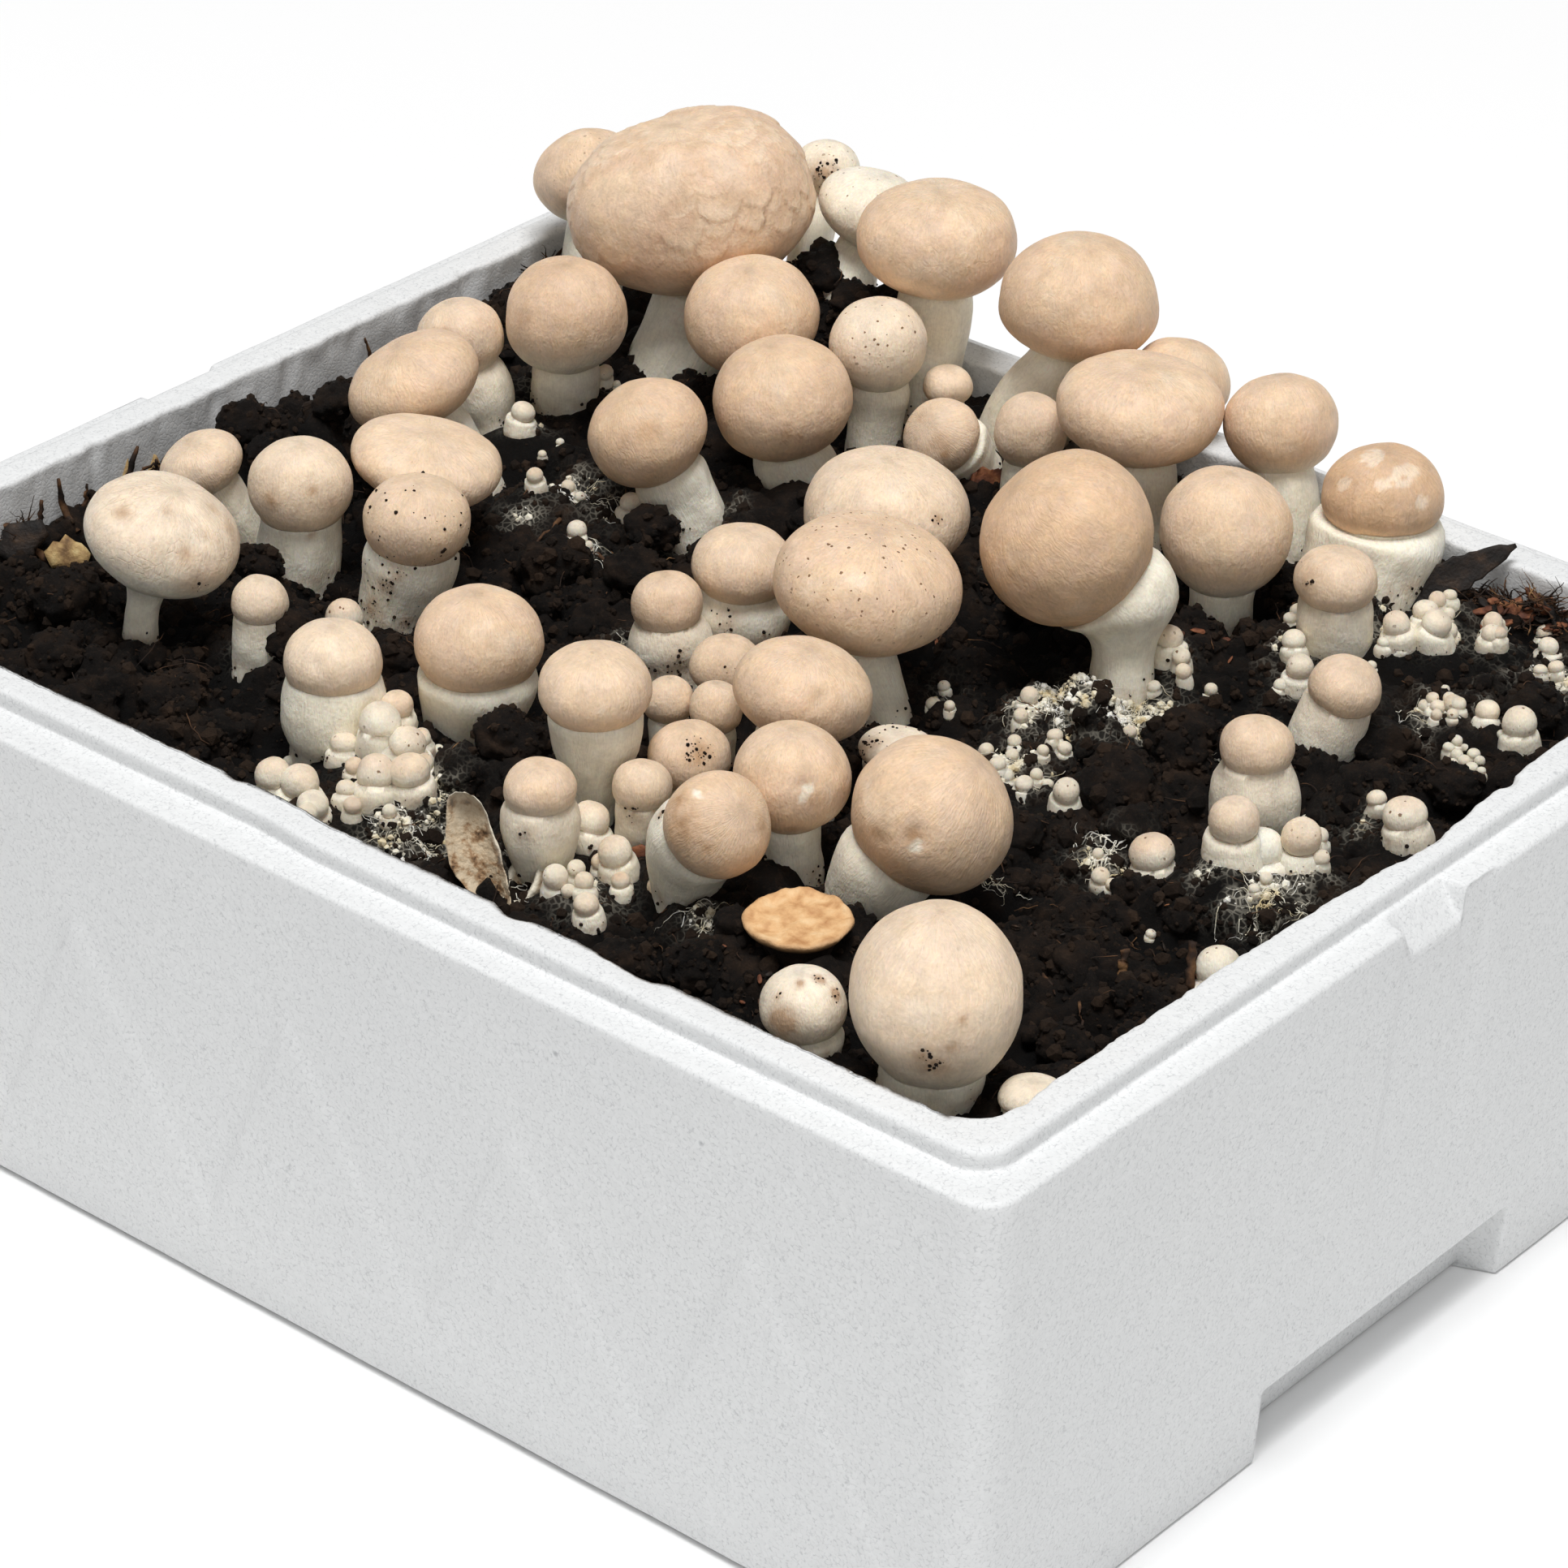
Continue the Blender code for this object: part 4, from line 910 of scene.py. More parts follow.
# What sets each mushroom apart. square: under 1 is a flatter, boxier cap. tone: how tan the skin is.
# brown: how dark. scaly, speckled, soiled: how much of each. skinEnds: where the tan fades out, from -1
# at the fold to 1 at the top. crease: depth of the fold. stem: radius at shares of its height from the soil.
# melts: how tan the stem is at the cap. fade: how softly the tan ends. bare: how much peeled skin pales.
# scales: height, width and lift of each.
melting = dict(crease=0.05, melts=0.35)  # cap and stem run into each other
mushroomLooks = {
    1: dict(square=0.8, brown=0.16, scales=(6.0, 8.5, 0.6), skinEnds=-0.8),
    2: dict(brown=0.3, speckled=0.5),
    3: dict(tone=0.3, speckled=0.6),
    4: dict(tone=0.2, speckled=0.9),
    5: dict(square=0.85, brown=0.3, scaly=0.2, skinEnds=-0.6),
    6: dict(brown=0.4, scaly=0.15, stem=[(0, 10.5), (0.4, 12), (0.8, 11), (1, 9)]),
    7: dict(brown=0.3),
    8: dict(square=0.85, brown=0.3, skinEnds=-0.75),
    9: dict(brown=0.3),
    10: dict(brown=0.8, bare=0.25, scaly=0.2, stem=[(0, 16.5), (0.5, 17.4), (0.85, 16), (1, 13.8)],
        skinEnds=-0.95, crease=0.6),
    11: dict(tone=0.85, brown=0.3, stem=[(0, 8.6), (0.35, 9.2), (0.7, 9.2), (1, 8.7)], **melting),
    12: dict(brown=0.35, skinEnds=-0.7),
    13: dict(brown=0.45, fade=0.35, skinEnds=-0.15),
    14: dict(tone=0.85, brown=0.25, stem=[(0, 8.5), (0.4, 9.5), (0.8, 9.2), (1, 8)], melts=0.35),
    15: dict(brown=0.35, scaly=0.1, skinEnds=-0.8),
    16: dict(tone=0.9, brown=0.3, skinEnds=-0.8),
    17: dict(tone=0.9, brown=0.35, stem=[(0, 10.5), (0.35, 11), (0.75, 12), (1, 11)], soiled=0.5,
        skinEnds=-0.85, crease=0.4),
    18: dict(tone=0.8, brown=0.3, stem=[(0, 7), (0.4, 7), (0.8, 7.4), (1, 7)], skinEnds=-0.4, melts=0.35),
    19: dict(tone=0.75, brown=0.2, stem=[(0, 11.3), (0.4, 10.8), (0.8, 10.3), (1, 10.4)], skinEnds=-0.7,
        crease=0.7),
    20: dict(tone=0.58, bare=0.3, brown=0.2, skinEnds=-0.1, scaly=0.3,
        stem=[(0, 4.6), (0.5, 4.4), (0.85, 5.4), (1, 7.5)]),
    21: dict(tone=0.7, brown=0.2, stem=[(0, 6.6), (0.4, 7), (0.8, 6.6), (1, 6.4)], fade=0.4, skinEnds=-0.3,
        **melting),
    22: dict(tone=0.45),
    23: dict(tone=0.75, brown=0.2, stem=[(0, 9), (0.25, 11.4), (0.55, 12.4), (0.85, 11.7), (1, 10.8)],
        skinEnds=-0.8),
    24: dict(brown=0.32, stem=[(0, 9), (0.3, 11.2), (0.6, 13.6), (0.85, 14.6), (1, 13.2)], skinEnds=-0.9,
        crease=0.9),
    25: dict(tone=0.9, brown=0.3, stem=[(0, 5.4), (0.3, 6.6), (0.65, 9.8), (0.92, 11.2), (1, 11)],
        skinEnds=-0.9, crease=0.9),
    26: dict(tone=0.9, brown=0.35, stem=[(0, 5.5), (0.3, 7.5), (0.62, 9.3), (0.85, 9.1), (1, 7.8)], fade=0.4,
        skinEnds=-0.25, **melting),
    27: dict(brown=0.5, stem=[(0, 9.5), (0.4, 9.5), (0.8, 10), (1, 9)], skinEnds=-0.85),
    28: dict(brown=0.45, skinEnds=-0.7),
    29: dict(tone=0.6, brown=0.1, speckled=1.0, stem=[(0, 7.5), (0.5, 7.6), (0.85, 8.4), (1, 7.5)], fade=0.4,
        skinEnds=-0.3),
    30: dict(tone=0.8, brown=0.25),
    31: dict(tone=0.85, brown=0.4, stem=[(0, 7), (0.4, 8.4), (0.8, 9.6), (1, 8.4)]),
    32: dict(tone=0.85, brown=0.3),
    33: dict(tone=0.8, brown=0.2, speckled=0.2),
    34: dict(square=0.88, brown=0.35, speckled=1.0, stem=[(0, 8), (0.4, 9.4), (0.8, 10), (1, 8.5)],
        skinEnds=-0.8),
    35: dict(brown=0.68, stem=[(0, 8), (0.25, 7.6), (0.45, 9.5), (0.66, 14.6), (0.88, 15.4), (1, 14)],
        skinEnds=-0.9, crease=0.9),
    36: dict(tone=0.95, brown=0.3, skinEnds=-0.45, fade=0.45, square=1.0, stem=[(0, 8.2), (0.5, 8), (1, 8.4)],
        crease=0.05),
    37: dict(tone=0.85, brown=0.35, stem=[(0, 9.5), (0.35, 12), (0.7, 12), (0.9, 10.2), (1, 10)]),
    38: dict(tone=0.9, brown=0.45, stem=[(0, 9.6), (0.35, 10.4), (0.7, 9.6), (1, 7.9)], fade=0.35,
        skinEnds=-0.35, **melting),
    39: dict(tone=0.85, brown=0.4, melts=0.35),
    40: dict(square=0.88, tone=0.95, brown=0.42),
    41: dict(tone=0.85, brown=0.3),
    42: dict(tone=0.85, brown=0.3),
    43: dict(tone=0.9, brown=0.35, melts=0.35),
    44: dict(tone=0.95, brown=0.4, stem=[(0, 6.5), (0.4, 6.4), (0.8, 7), (1, 7)], skinEnds=-0.8),
    45: dict(tone=0.8, brown=0.35, stem=[(0, 5.8), (0.4, 6.4), (0.8, 6.4), (1, 6.2)], fade=0.4, skinEnds=-0.25,
        **melting),
    46: dict(tone=0.95, brown=0.5, stem=[(0, 7.6), (0.4, 9.6), (0.8, 11.2), (1, 10.6)], skinEnds=-0.7),
    47: dict(tone=0.95, brown=0.5, square=0.97, stem=[(0, 9.6), (0.4, 10.6), (0.8, 11.6), (1, 11)],
        skinEnds=-0.85),
    48: dict(tone=0.8, brown=0.2, square=1.0, stem=[(0, 11.6), (0.5, 11.6), (1, 11.4)], fade=0.5,
        skinEnds=-0.35, crease=0.05),
    49: dict(tone=0.4, brown=0.1, stem=[(0, 6.5), (0.4, 7.4), (0.8, 7.4), (1, 6.4)]),
    50: dict(tone=0.4, brown=0.2, soiled=0.5),
    51: dict(tone=0.85, brown=0.4, stem=[(0, 8.6), (0.4, 9.2), (0.8, 8.6), (1, 7.9)], skinEnds=-0.5, **melting),
    52: dict(tone=0.85, brown=0.4, stem=[(0, 10), (0.35, 10.8), (0.65, 10.5), (0.88, 8.8), (1, 8)], fade=0.4,
        skinEnds=-0.3, **melting),
}
narrowedCaps = {1: ((0.63, -0.78, 0), 0.84)}  # direction across the cap, and its size that way

# Marks seen on the caps: pixel of the photograph, radius in mm, amount
dents = {
    5: [(1125, 265, 4.5, 0.7), (1165, 240, 6, 0.5)],
    6: [(1320, 340, 6, 0.8), (1275, 330, 5, 0.5)],
    47: [(1130, 1030, 3.5, 1.0), (1085, 1035, 3, 0.6)],
    44: [(990, 968, 2.5, 0.9)],
    20: [(215, 625, 5, 0.6), (240, 640, 4, 0.6), (160, 640, 3, 0.5)],
    34: [(1000, 690, 6, 0.5)],
    40: [(1010, 862, 3, 0.8)],
    43: [(862, 925, 4, 0.8)],
    23: [(390, 815, 2.5, 0.5)],
}
stains = {
    13: [(645, 392, 3.0, 0.7), (680, 330, 6, 0.3)],
    19: [(333, 617, 3.0, 0.8), (385, 605, 1.6, 0.9), (385, 660, 1.6, 0.9), (410, 620, 2.5, 0.5)],
    20: [(150, 632, 2.5, 0.8), (228, 682, 2.4, 0.8), (262, 625, 2.6, 0.6), (285, 655, 3.5, 0.6),
                    (255, 660, 2.0, 0.6), (205, 630, 2.0, 0.5)],
    27: [(800, 530, 3.5, 0.7), (770, 545, 3.0, 0.4)],
    28: [(970, 535, 2.4, 0.6), (985, 540, 1.6, 0.6)],
    31: [(1160, 545, 4.5, 0.5), (1165, 560, 1.6, 0.9), (1135, 515, 1.6, 0.8)],
    44: [(998, 985, 2.6, 0.6), (978, 1022, 2.0, 0.8)],
    46: [(838, 1020, 6.0, 0.9), (835, 985, 3.0, 0.8), (870, 1045, 2.0, 0.7), (940, 1020, 1.8, 0.7)],
    47: [(1125, 1030, 3.2, 0.9), (1078, 1028, 2.0, 0.7), (1090, 1045, 2.0, 0.5)],
    48: [(1165, 1305, 9.0, 0.35), (1050, 1150, 3.0, 0.5)],
    49: [(964, 1260, 3.6, 2.0), (1010, 1206, 1.4, 1.5), (1030, 1225, 1.4, 1.5), (985, 1212, 1.2, 1.5)],
    33: [(1060, 575, 3.0, 0.25)],
    14: [(548, 408, 1.6, 0.8)],
    15: [(478, 570, 2.0, 0.8)],
}
bared = {  # where the skin has peeled
    10: [(1690, 563, 4.5, 1.0), (1726, 588, 3.4, 1.0), (1703, 598, 2.4, 1.0), (1655, 597, 2.4, 1.0),
                    (1752, 617, 2.4, 1.0), (1740, 578, 2.6, 1.0)],
    20: [(245, 660, 4.5, 0.7), (215, 672, 2.4, 0.7)],
    44: [(993, 972, 1.7, 1.3), (990, 984, 1.2, 1.2)],
    46: [(860, 978, 1.8, 0.9)],
    47: [(1128, 1042, 2.0, 0.9)],
}
soilings = {  # crumbs of soil stuck to the skin
    11: [(1612, 715, 3.5, 0.9), (1608, 690, 3.0, 0.6)],
    39: [(885, 825, 4.0, 0.4), (905, 825, 3.0, 0.4)],
    38: [(838, 807, 4.0, 0.6), (830, 825, 4.0, 0.5)],
    37: [(895, 768, 4.0, 0.9), (940, 790, 3.0, 0.8), (875, 745, 1.6, 0.6)],
    43: [(862, 928, 4.2, 1.4)],
    46: [(814, 1004, 2.0, 1.3)],
    45: [(780, 1000, 3.5, 0.7)],
    48: [(1150, 1315, 3.6, 0.8), (1135, 1300, 2.2, 0.8), (1186, 1257, 1.2, 1.2), (1172, 1290, 1.2, 1.2)],
    49: [(1008, 1206, 1.3, 1.6), (1030, 1226, 1.3, 1.6), (958, 1228, 1.3, 1.2), (1018, 1300, 2.0, 0.8)],
    17: [(458, 745, 3.0, 1.2), (475, 722, 3.0, 1.2), (490, 708, 3.0, 1.0), (500, 775, 4.0, 0.6)],
    26: [(650, 1030, 3.0, 0.7)],
    50: [(1080, 915, 4.0, 0.8), (1060, 930, 4.0, 1.0)],
    28: [(1048, 470, 1.6, 1.2)],
    33: [(1155, 640, 1.8, 1.2)],
    20: [(240, 722, 5.0, 0.8)],
    3: [(1015, 212, 4.5, 1.6)],
    25: [(680, 900, 2.0, 0.3)],
}


def skinMaterial():
    # Mushroom skin, grown: thin dry skin over soft white flesh, faint fibres down the cap, no gloss
    kit = shaderKit("mushroomSkin", IOR=1.4, Subsurface_Weight=0.25, Subsurface_Scale=2.5 * mm,
                    Subsurface_Radius=(1.0, 0.55, 0.25))
    place, texture, spread, times, blended = kit.place, kit.texture, kit.spread, kit.times, kit.blended
    around = kit.layer("around", "Vector")
    layer = {word: kit.layer(word) for word in ("capTone", "brown", "scaly", "ragged", "speckled", "stained")}
    patch, mottle, fine = texture(12 * mm, 4.0), texture(2.6 * mm, 3.0), texture(0.8 * mm, 3.0)
    wavy = kit.vectors("MULTIPLY_ADD", texture(6 * mm, out="Color"), (0.25, 0.25, 0.25), around)
    fibre = texture(1.0, 4.0, kit.stretched(wavy, (26.0, 26.0, 5.0)))  # down the cap, each about 1 mm wide
    tan = kit.ramp(patch, (0.3, "E6C6A5"), (0.42, "EBD1B8"), (0.55, "EFD5B6"), (0.7, "F5E2CA"))
    dark = kit.ramp(mottle, (0.3, "C2936A"), (0.55, "D3A97E"), (0.8, "E0BC94"))
    pale = kit.ramp(patch, (0.3, "F6EDD8"), (0.55, "FBF4E2"), (0.8, "FDF9EC"))
    tan = blended(spread(texture(9 * mm, 3.0), 0.5, 0.7, 0.0, 0.25), tan, "E0BDA4")  # rosy where it was rubbed
    cap = blended(times(layer["brown"], spread(mottle, 0.25, 0.75, 0.55, 1.0)), tan, dark)
    edge = kit.maths("ADD", layer["capTone"], spread(patch, 0.3, 0.7, -0.12, 0.12), clamp=True)
    body = blended(times(edge, spread(layer["capTone"], 0.0, 0.2)), pale, cap)
    # Scales: patches torn apart as the cap grew, brown with paler edges
    wide = kit.stretched(around, (5.5, 5.5, 6.5))
    bent = kit.vectors("MULTIPLY_ADD", texture(5 * mm, out="Color"), (1.1, 1.1, 1.1), wide)
    tint = spread(kit.cells(1, bent)["Color"], 0.3, 0.9)
    body = blended(times(times(layer["scaly"], 0.45), tint), body, "C79F7C")
    torn = times(layer["scaly"], spread(kit.cells(1, bent, True)[0], 0.0, 0.07, 1.0, 0.0))
    torn = times(torn, spread(texture(6 * mm), 0.45, 0.6))
    body = blended(times(torn, 0.75), body, "B08A68")
    # On the scaly cap the foot of each scale is paler, and the skin just under the scale above is browner, partly
    # its own tan and partly painted shade under that scale
    body = blended(spread(layer["ragged"], 0.0, 0.35, 0.0, 0.3), body, "CDA27E")
    body = blended(spread(layer["ragged"], 0.5, 1.0, 0.0, 0.75), body, "F0D9BE")
    # Specks: small brown flecks where the skin is speckled
    ragged = kit.vectors("MULTIPLY_ADD", texture(0.9 * mm, out="Color"), (0.8 * mm,) * 3, place)
    speck = kit.cells(1.7 * mm, ragged)
    dot = kit.maths("LESS_THAN", speck["Distance"], spread(speck["Color"], 0.35, 1.0, 0.0, 0.3))
    body = blended(times(times(dot, layer["speckled"]), 0.95), body, "7E5C3E")
    # Stains and old bruises
    blot = times(layer["stained"], spread(mottle, 0.25, 0.6, 0.45, 1.2))
    body = blended(times(blot, 0.7), body, "A77B50")
    shade = kit.maths("MULTIPLY", spread(fibre, 0.3, 0.7, 0.94, 1.06), spread(fine, 0.3, 0.7, 0.92, 1.05))
    shade = kit.maths("MULTIPLY", shade, spread(texture(5 * mm, 5.0), 0.3, 0.7, 0.9, 1.08))
    relief = kit.maths("SUBTRACT", kit.maths("MULTIPLY_ADD", fine, 0.5, times(mottle, 1.0)), torn)
    relief = kit.maths("MULTIPLY_ADD", fibre, 0.9, relief)
    return kit.finish(kit.scaled(body, shade), spread(fine, 0.2, 0.8, 0.42, 0.62), relief, 0.65, 0.4)


def curveThrough(share, knots):
    # A smooth curve through (share, value) knots
    shares, values = [k[0] for k in knots], [k[1] for k in knots]
    if share <= shares[0]:
        return values[0]
    for i in range(len(knots) - 1):
        if share <= shares[i + 1]:
            slopes = []
            for j in (i, i + 1):
                a, b = max(j - 1, 0), min(j + 1, len(knots) - 1)
                slopes.append((values[b] - values[a]) / (shares[b] - shares[a]))
            gap = shares[i + 1] - shares[i]
            t = (share - shares[i]) / gap
            return ((2 * t ** 3 - 3 * t ** 2 + 1) * values[i] + (t ** 3 - 2 * t ** 2 + t) * gap * slopes[0]
                    + (3 * t ** 2 - 2 * t ** 3) * values[i + 1] + (t ** 3 - t ** 2) * gap * slopes[1])
    return values[-1]


def roundNoise(around, across, along, shift=0.0):
    # Smooth noise that follows a mushroom round and up
    return np.array([noise.noise(Vector((a[0] * across, a[1] * across, a[2] * along + shift))) for a in around])


def fishScales(around, phase, radius, scales):
    # Rows of skin that split as the cap grew, each lapping over the next lower one: how far the skin lifts
    # at each point, and how far down its scale the point lies
    tall, wide, lift = scales
    angle = (np.arctan2(around[:, 1], around[:, 0]) - phase) / (2 * math.pi) % 1
    down = (1 - around[:, 2]) * math.pi / 2 * radius
    down = down + 1.1 * roundNoise(around, 3.0, 4.0)
    height, scaleShare, free = np.zeros(len(angle)), np.zeros(len(angle)), np.ones(len(angle), bool)
    row = np.floor(down / tall)
    for upper in (2, 1, 0):  # the highest scale that reaches this far down lies on top
        own = row - upper
        girth = 2 * math.pi * radius * np.sin(np.clip((own + 1) * tall / radius, 0.05, math.pi / 2))
        count = np.maximum(4, np.round(girth / wide))
        place = angle * count + 0.5 * (own % 2) + 0.25 * np.sin(own * 7.3 + angle * 19)
        cell = np.floor(place)
        across = 2 * (place - cell) - 1
        chance = np.sin(cell * 12.9898 + own * 78.233) * 43758.5453 % 1
        edge = (own + 1) * tall + tall * (np.sqrt(np.clip(1 - 0.92 * across ** 2, 0, 1)) - 0.2 + 0.7 * chance)
        on = free & (down < edge) & (own >= 0)
        share = np.clip((down - own * tall) / np.maximum(edge - own * tall, 0.5), 0, 1)
        height[on] = (lift * (0.2 + 1.2 * chance) * share ** 1.6)[on]
        scaleShare[on] = share[on]
        free &= ~on
    strong = smoothStep(around[:, 2], -0.35, 0.0) * smoothStep(down, 4.0, 12.0)
    strong *= smoothStep(roundNoise(around, 1.7, 1.7, 5), -0.45, 0.1)
    return height * strong, scaleShare * strong


def mushroomPart(cap, size, foot, stem, lean, ground, seed, sides, fineness, look):
    # One mushroom as rings from its buried foot up to the top of its cap
    radius, dome, under = size
    neck, base = stem
    shape = look.get("stem")
    if shape:
        neck = shape[-1][1]
    cap = Vector(cap)
    footPoint = Vector((foot[0], foot[1], ground))
    axis = Vector(lean if lean else cap - footPoint).normalized()
    neck = min(neck, radius * 0.92)
    shape = shape or [(0, base), (0.4, (base + neck) / 2 * 1.08), (0.75, neck * 1.12), (1, neck)]
    start = math.acos(neck / radius)
    square = look.get("square", 0.94)
    rings = []  # middle, axis, radius, latitude
    neckMiddle = cap - axis * under * math.sin(start)
    rooted = mushroomShape["rooted"] * min(1.0, base / 8)
    buried = footPoint - up * rooted
    reach = (neckMiddle - buried).length / 3
    bends = (buried, buried + up * reach, neckMiddle - axis * reach, neckMiddle)
    below = rooted / max((neckMiddle - buried).length, 0.1)
    facet = 2 * math.pi * radius / sides
    stemCount = max(6, round(mushroomShape["stemRings"] * fineness))
    for i in range(stemCount):
        s = i / stemCount
        a, b, c, d = (1 - s) ** 3, 3 * s * (1 - s) ** 2, 3 * s * s * (1 - s), s ** 3
        middle = bends[0] * a + bends[1] * b + bends[2] * c + bends[3] * d
        tangent = (bends[1] - bends[0]) * (1 - s) ** 2 + (bends[2] - bends[1]) * 2 * s * (1 - s)
        tangent += (bends[3] - bends[2]) * s * s
        wide = curveThrough((s - below) / (1 - below), shape) if s > below else shape[0][1]
        rings.append((middle, tangent.normalized(), wide, -2 + s))
    crease = look.get("crease", mushroomShape["crease"]) * min(1.0, radius / 10)
    rings.append((neckMiddle - axis * crease * 0.4, axis, neck * 0.99, -1.02))
    rings.append((neckMiddle + axis * crease * 0.45, axis, neck - crease * 0.9, -0.99))
    underCount = max(4, round(1.1 * under / facet))
    for i in range(underCount, 0, -1):
        t = start * i / underCount
        wide = radius * math.cos(t) + crease * 0.35 * (i == underCount)
        rings.append((cap - axis * under * math.sin(t), axis, wide, -t / (math.pi / 2)))
    domeCount = max(6, round(1.35 * (radius + dome) / 2 / facet))
    for i in range(domeCount):
        t = math.pi / 2 * i / domeCount
        wide = radius * math.cos(t) ** square
        rings.append((cap + axis * dome * math.sin(t) ** square, axis, wide, t / (math.pi / 2)))
    phase = random.Random(seed).uniform(0, 6.28)
    angles = np.arange(sides) * 2 * math.pi / sides
    points, around = [], []
    for middle, ringAxis, wide, latitude in rings:
        turn = up.rotation_difference(ringAxis)
        first, second = np.array(turn @ Vector((1, 0, 0))), np.array(turn @ Vector((0, 1, 0)))
        circle = np.outer(np.cos(angles), first) + np.outer(np.sin(angles), second)
        points.append(np.array(middle) + wide * circle)
        way = angles + phase
        around.append(np.column_stack([np.cos(way), np.sin(way), np.full(sides, latitude)]))
    points.append(np.array([cap + axis * dome, buried]))
    around.append(np.array([(0, 0, 1.0), (0, 0, -2.0)]))
    points, around = np.concatenate(points), np.concatenate(around)
    faces = ringFaces(len(rings), sides, True)
    normals = pointNormals(points, faces)
    lat = around[:, 2]
    onCap = smoothStep(lat, -0.97, -0.7)
    wander = 0.05 * radius * waves(points, radius * 1.2, seed)
    wander += 0.018 * radius * waves(points, radius * 0.5, seed + 5)
    ribs = roundNoise(around, 1.6, 1.1, seed)
    wander += (1 - onCap) * (0.06 * neck * ribs + 0.02 * neck * waves(points, neck * 0.5, seed + 9))
    if radius > 4:
        wander += 0.16 * waves(points, 7.0, seed + 11) + 0.07 * waves(points, 2.6, seed + 13)
    scaleShare = 0
    if "scales" in look:
        lift, scaleShare = fishScales(around, phase, radius, look["scales"])
        wander += lift
    points += normals * wander[:, None]
    # The tan skin thins out under the cap
    fadeFrom, fade = look.get("skinEnds", -0.5), look.get("fade", 0.3)
    uneven = 0.12 * roundNoise(around, 1.5, 0, seed)
    skin = lat > -0.985
    tone = look.get("tone", 1.0)
    capTone = smoothStep(lat + uneven, fadeFrom - fade, fadeFrom + fade) * tone
    melts = look.get("melts", 0.0) * tone
    capTone = np.where(skin, np.maximum(capTone, max(0.12 * tone, melts)), melts * smoothStep(lat, -1.6, -1.0))
    lowDown = 1 - smoothStep(points[:, 2] - ground, 0.5, 4.5 * min(1.0, radius / 8))
    patchy = np.clip(0.5 + 1.2 * waves(points, max(2.0, radius * 0.25), seed + 2), 0, 1)
    soiled = np.where(skin, 0.0, 0.6 * lowDown * patchy) + look.get("soiled", 0.0) * patchy * 0.5
    speckled = look.get("speckled", 0.0) * smoothStep(lat, -0.4, 0.3)
    scaly = look.get("scaly", 0.0) * smoothStep(lat, -0.5, 0.1)
    ragged = scaleShare * np.ones(len(points))
    # brown: the mushroom's own brownness, with more towards and under the cap's margin, partly its browner skin
    # there and partly painted shade on the side turned from the light
    return points, faces, {
        "around": around, "capTone": capTone, "scaly": scaly, "ragged": ragged,
        "brown": np.clip(look.get("brown", 0.0) + 0.2 * smoothStep(-lat, 0.05, 0.6) * skin, 0, 1),
        "speckled": np.maximum(speckled, 0.12 * skin), "stained": 0.5 * lowDown * patchy, "soiled": soiled}


def markedPlaces(points, faces, marks):
    # How near each point is to the marks, whose pixels are followed down their lines of sight
    tree = BVHTree.FromPolygons([tuple(p) for p in points], faces)
    total = np.zeros(len(points))
    for u, v, radius, amount in marks:
        start, direction = pixelRay(u, v)
        hit = tree.ray_cast(start, direction)[0]
        if hit:
            away = np.linalg.norm(points - np.array(hit), axis=1) / radius
            total += amount * np.exp(-(away ** 2) * 1.4)
    return total


def makeMushrooms(material):
    total = 0
    for index, (number, (cap, size, foot, stem, lean)) in enumerate(mushrooms.items()):
        look = mushroomLooks[number]
        facet = mushroomShape["scaleFacet" if "scales" in look else "facet"]
        sides = max(64, 4 * round(math.pi * size[0] / facet / 2))
        points, faces, layers = mushroomPart(
            cap, size, foot, stem, lean, groundAt(*foot), index * 3.1 + 1, sides, 1.0, look)
        if number in narrowedCaps:
            direction, share = narrowedCaps[number]
            along = np.array(Vector(direction).normalized())
            onCap = layers["around"][:, 2] > -0.98
            points[onCap] += np.outer(((points - np.array(cap)) @ along) * (share - 1), along)[onCap]
        if number in dents:
            points -= pointNormals(points, faces) * markedPlaces(points, faces, dents[number])[:, None]
        if number in stains:
            layers["stained"] += markedPlaces(points, faces, stains[number])
        if number in bared:
            ragged = 1 + 0.9 * waves(points, 3.2, index) + 0.5 * waves(points, 1.5, index + 4)
            peeled = smoothStep(markedPlaces(points, faces, bared[number]) * ragged, 0.4, 0.55)
            layers["capTone"] *= 1 - look.get("bare", 0.85) * peeled
            layers["brown"] *= 1 - 0.8 * peeled
            points -= pointNormals(points, faces) * (0.15 * peeled)[:, None]
        if number in soilings:
            dirt = markedPlaces(points, faces, soilings[number])
            layers["soiled"] += 3 * np.clip(dirt - 0.25, 0, 2)
            layers["stained"] += 0.7 * dirt
        piece = makePiece(f"button{number:02}", points, faces, material,
                          [f"mushroom_{number:02}"], layers=layers)
        total += len(piece.data.polygons)
    return total


skin = skinMaterial()
total = makeMushrooms(skin)
report(f"mushrooms have {total} faces")


# Young buttons and pins

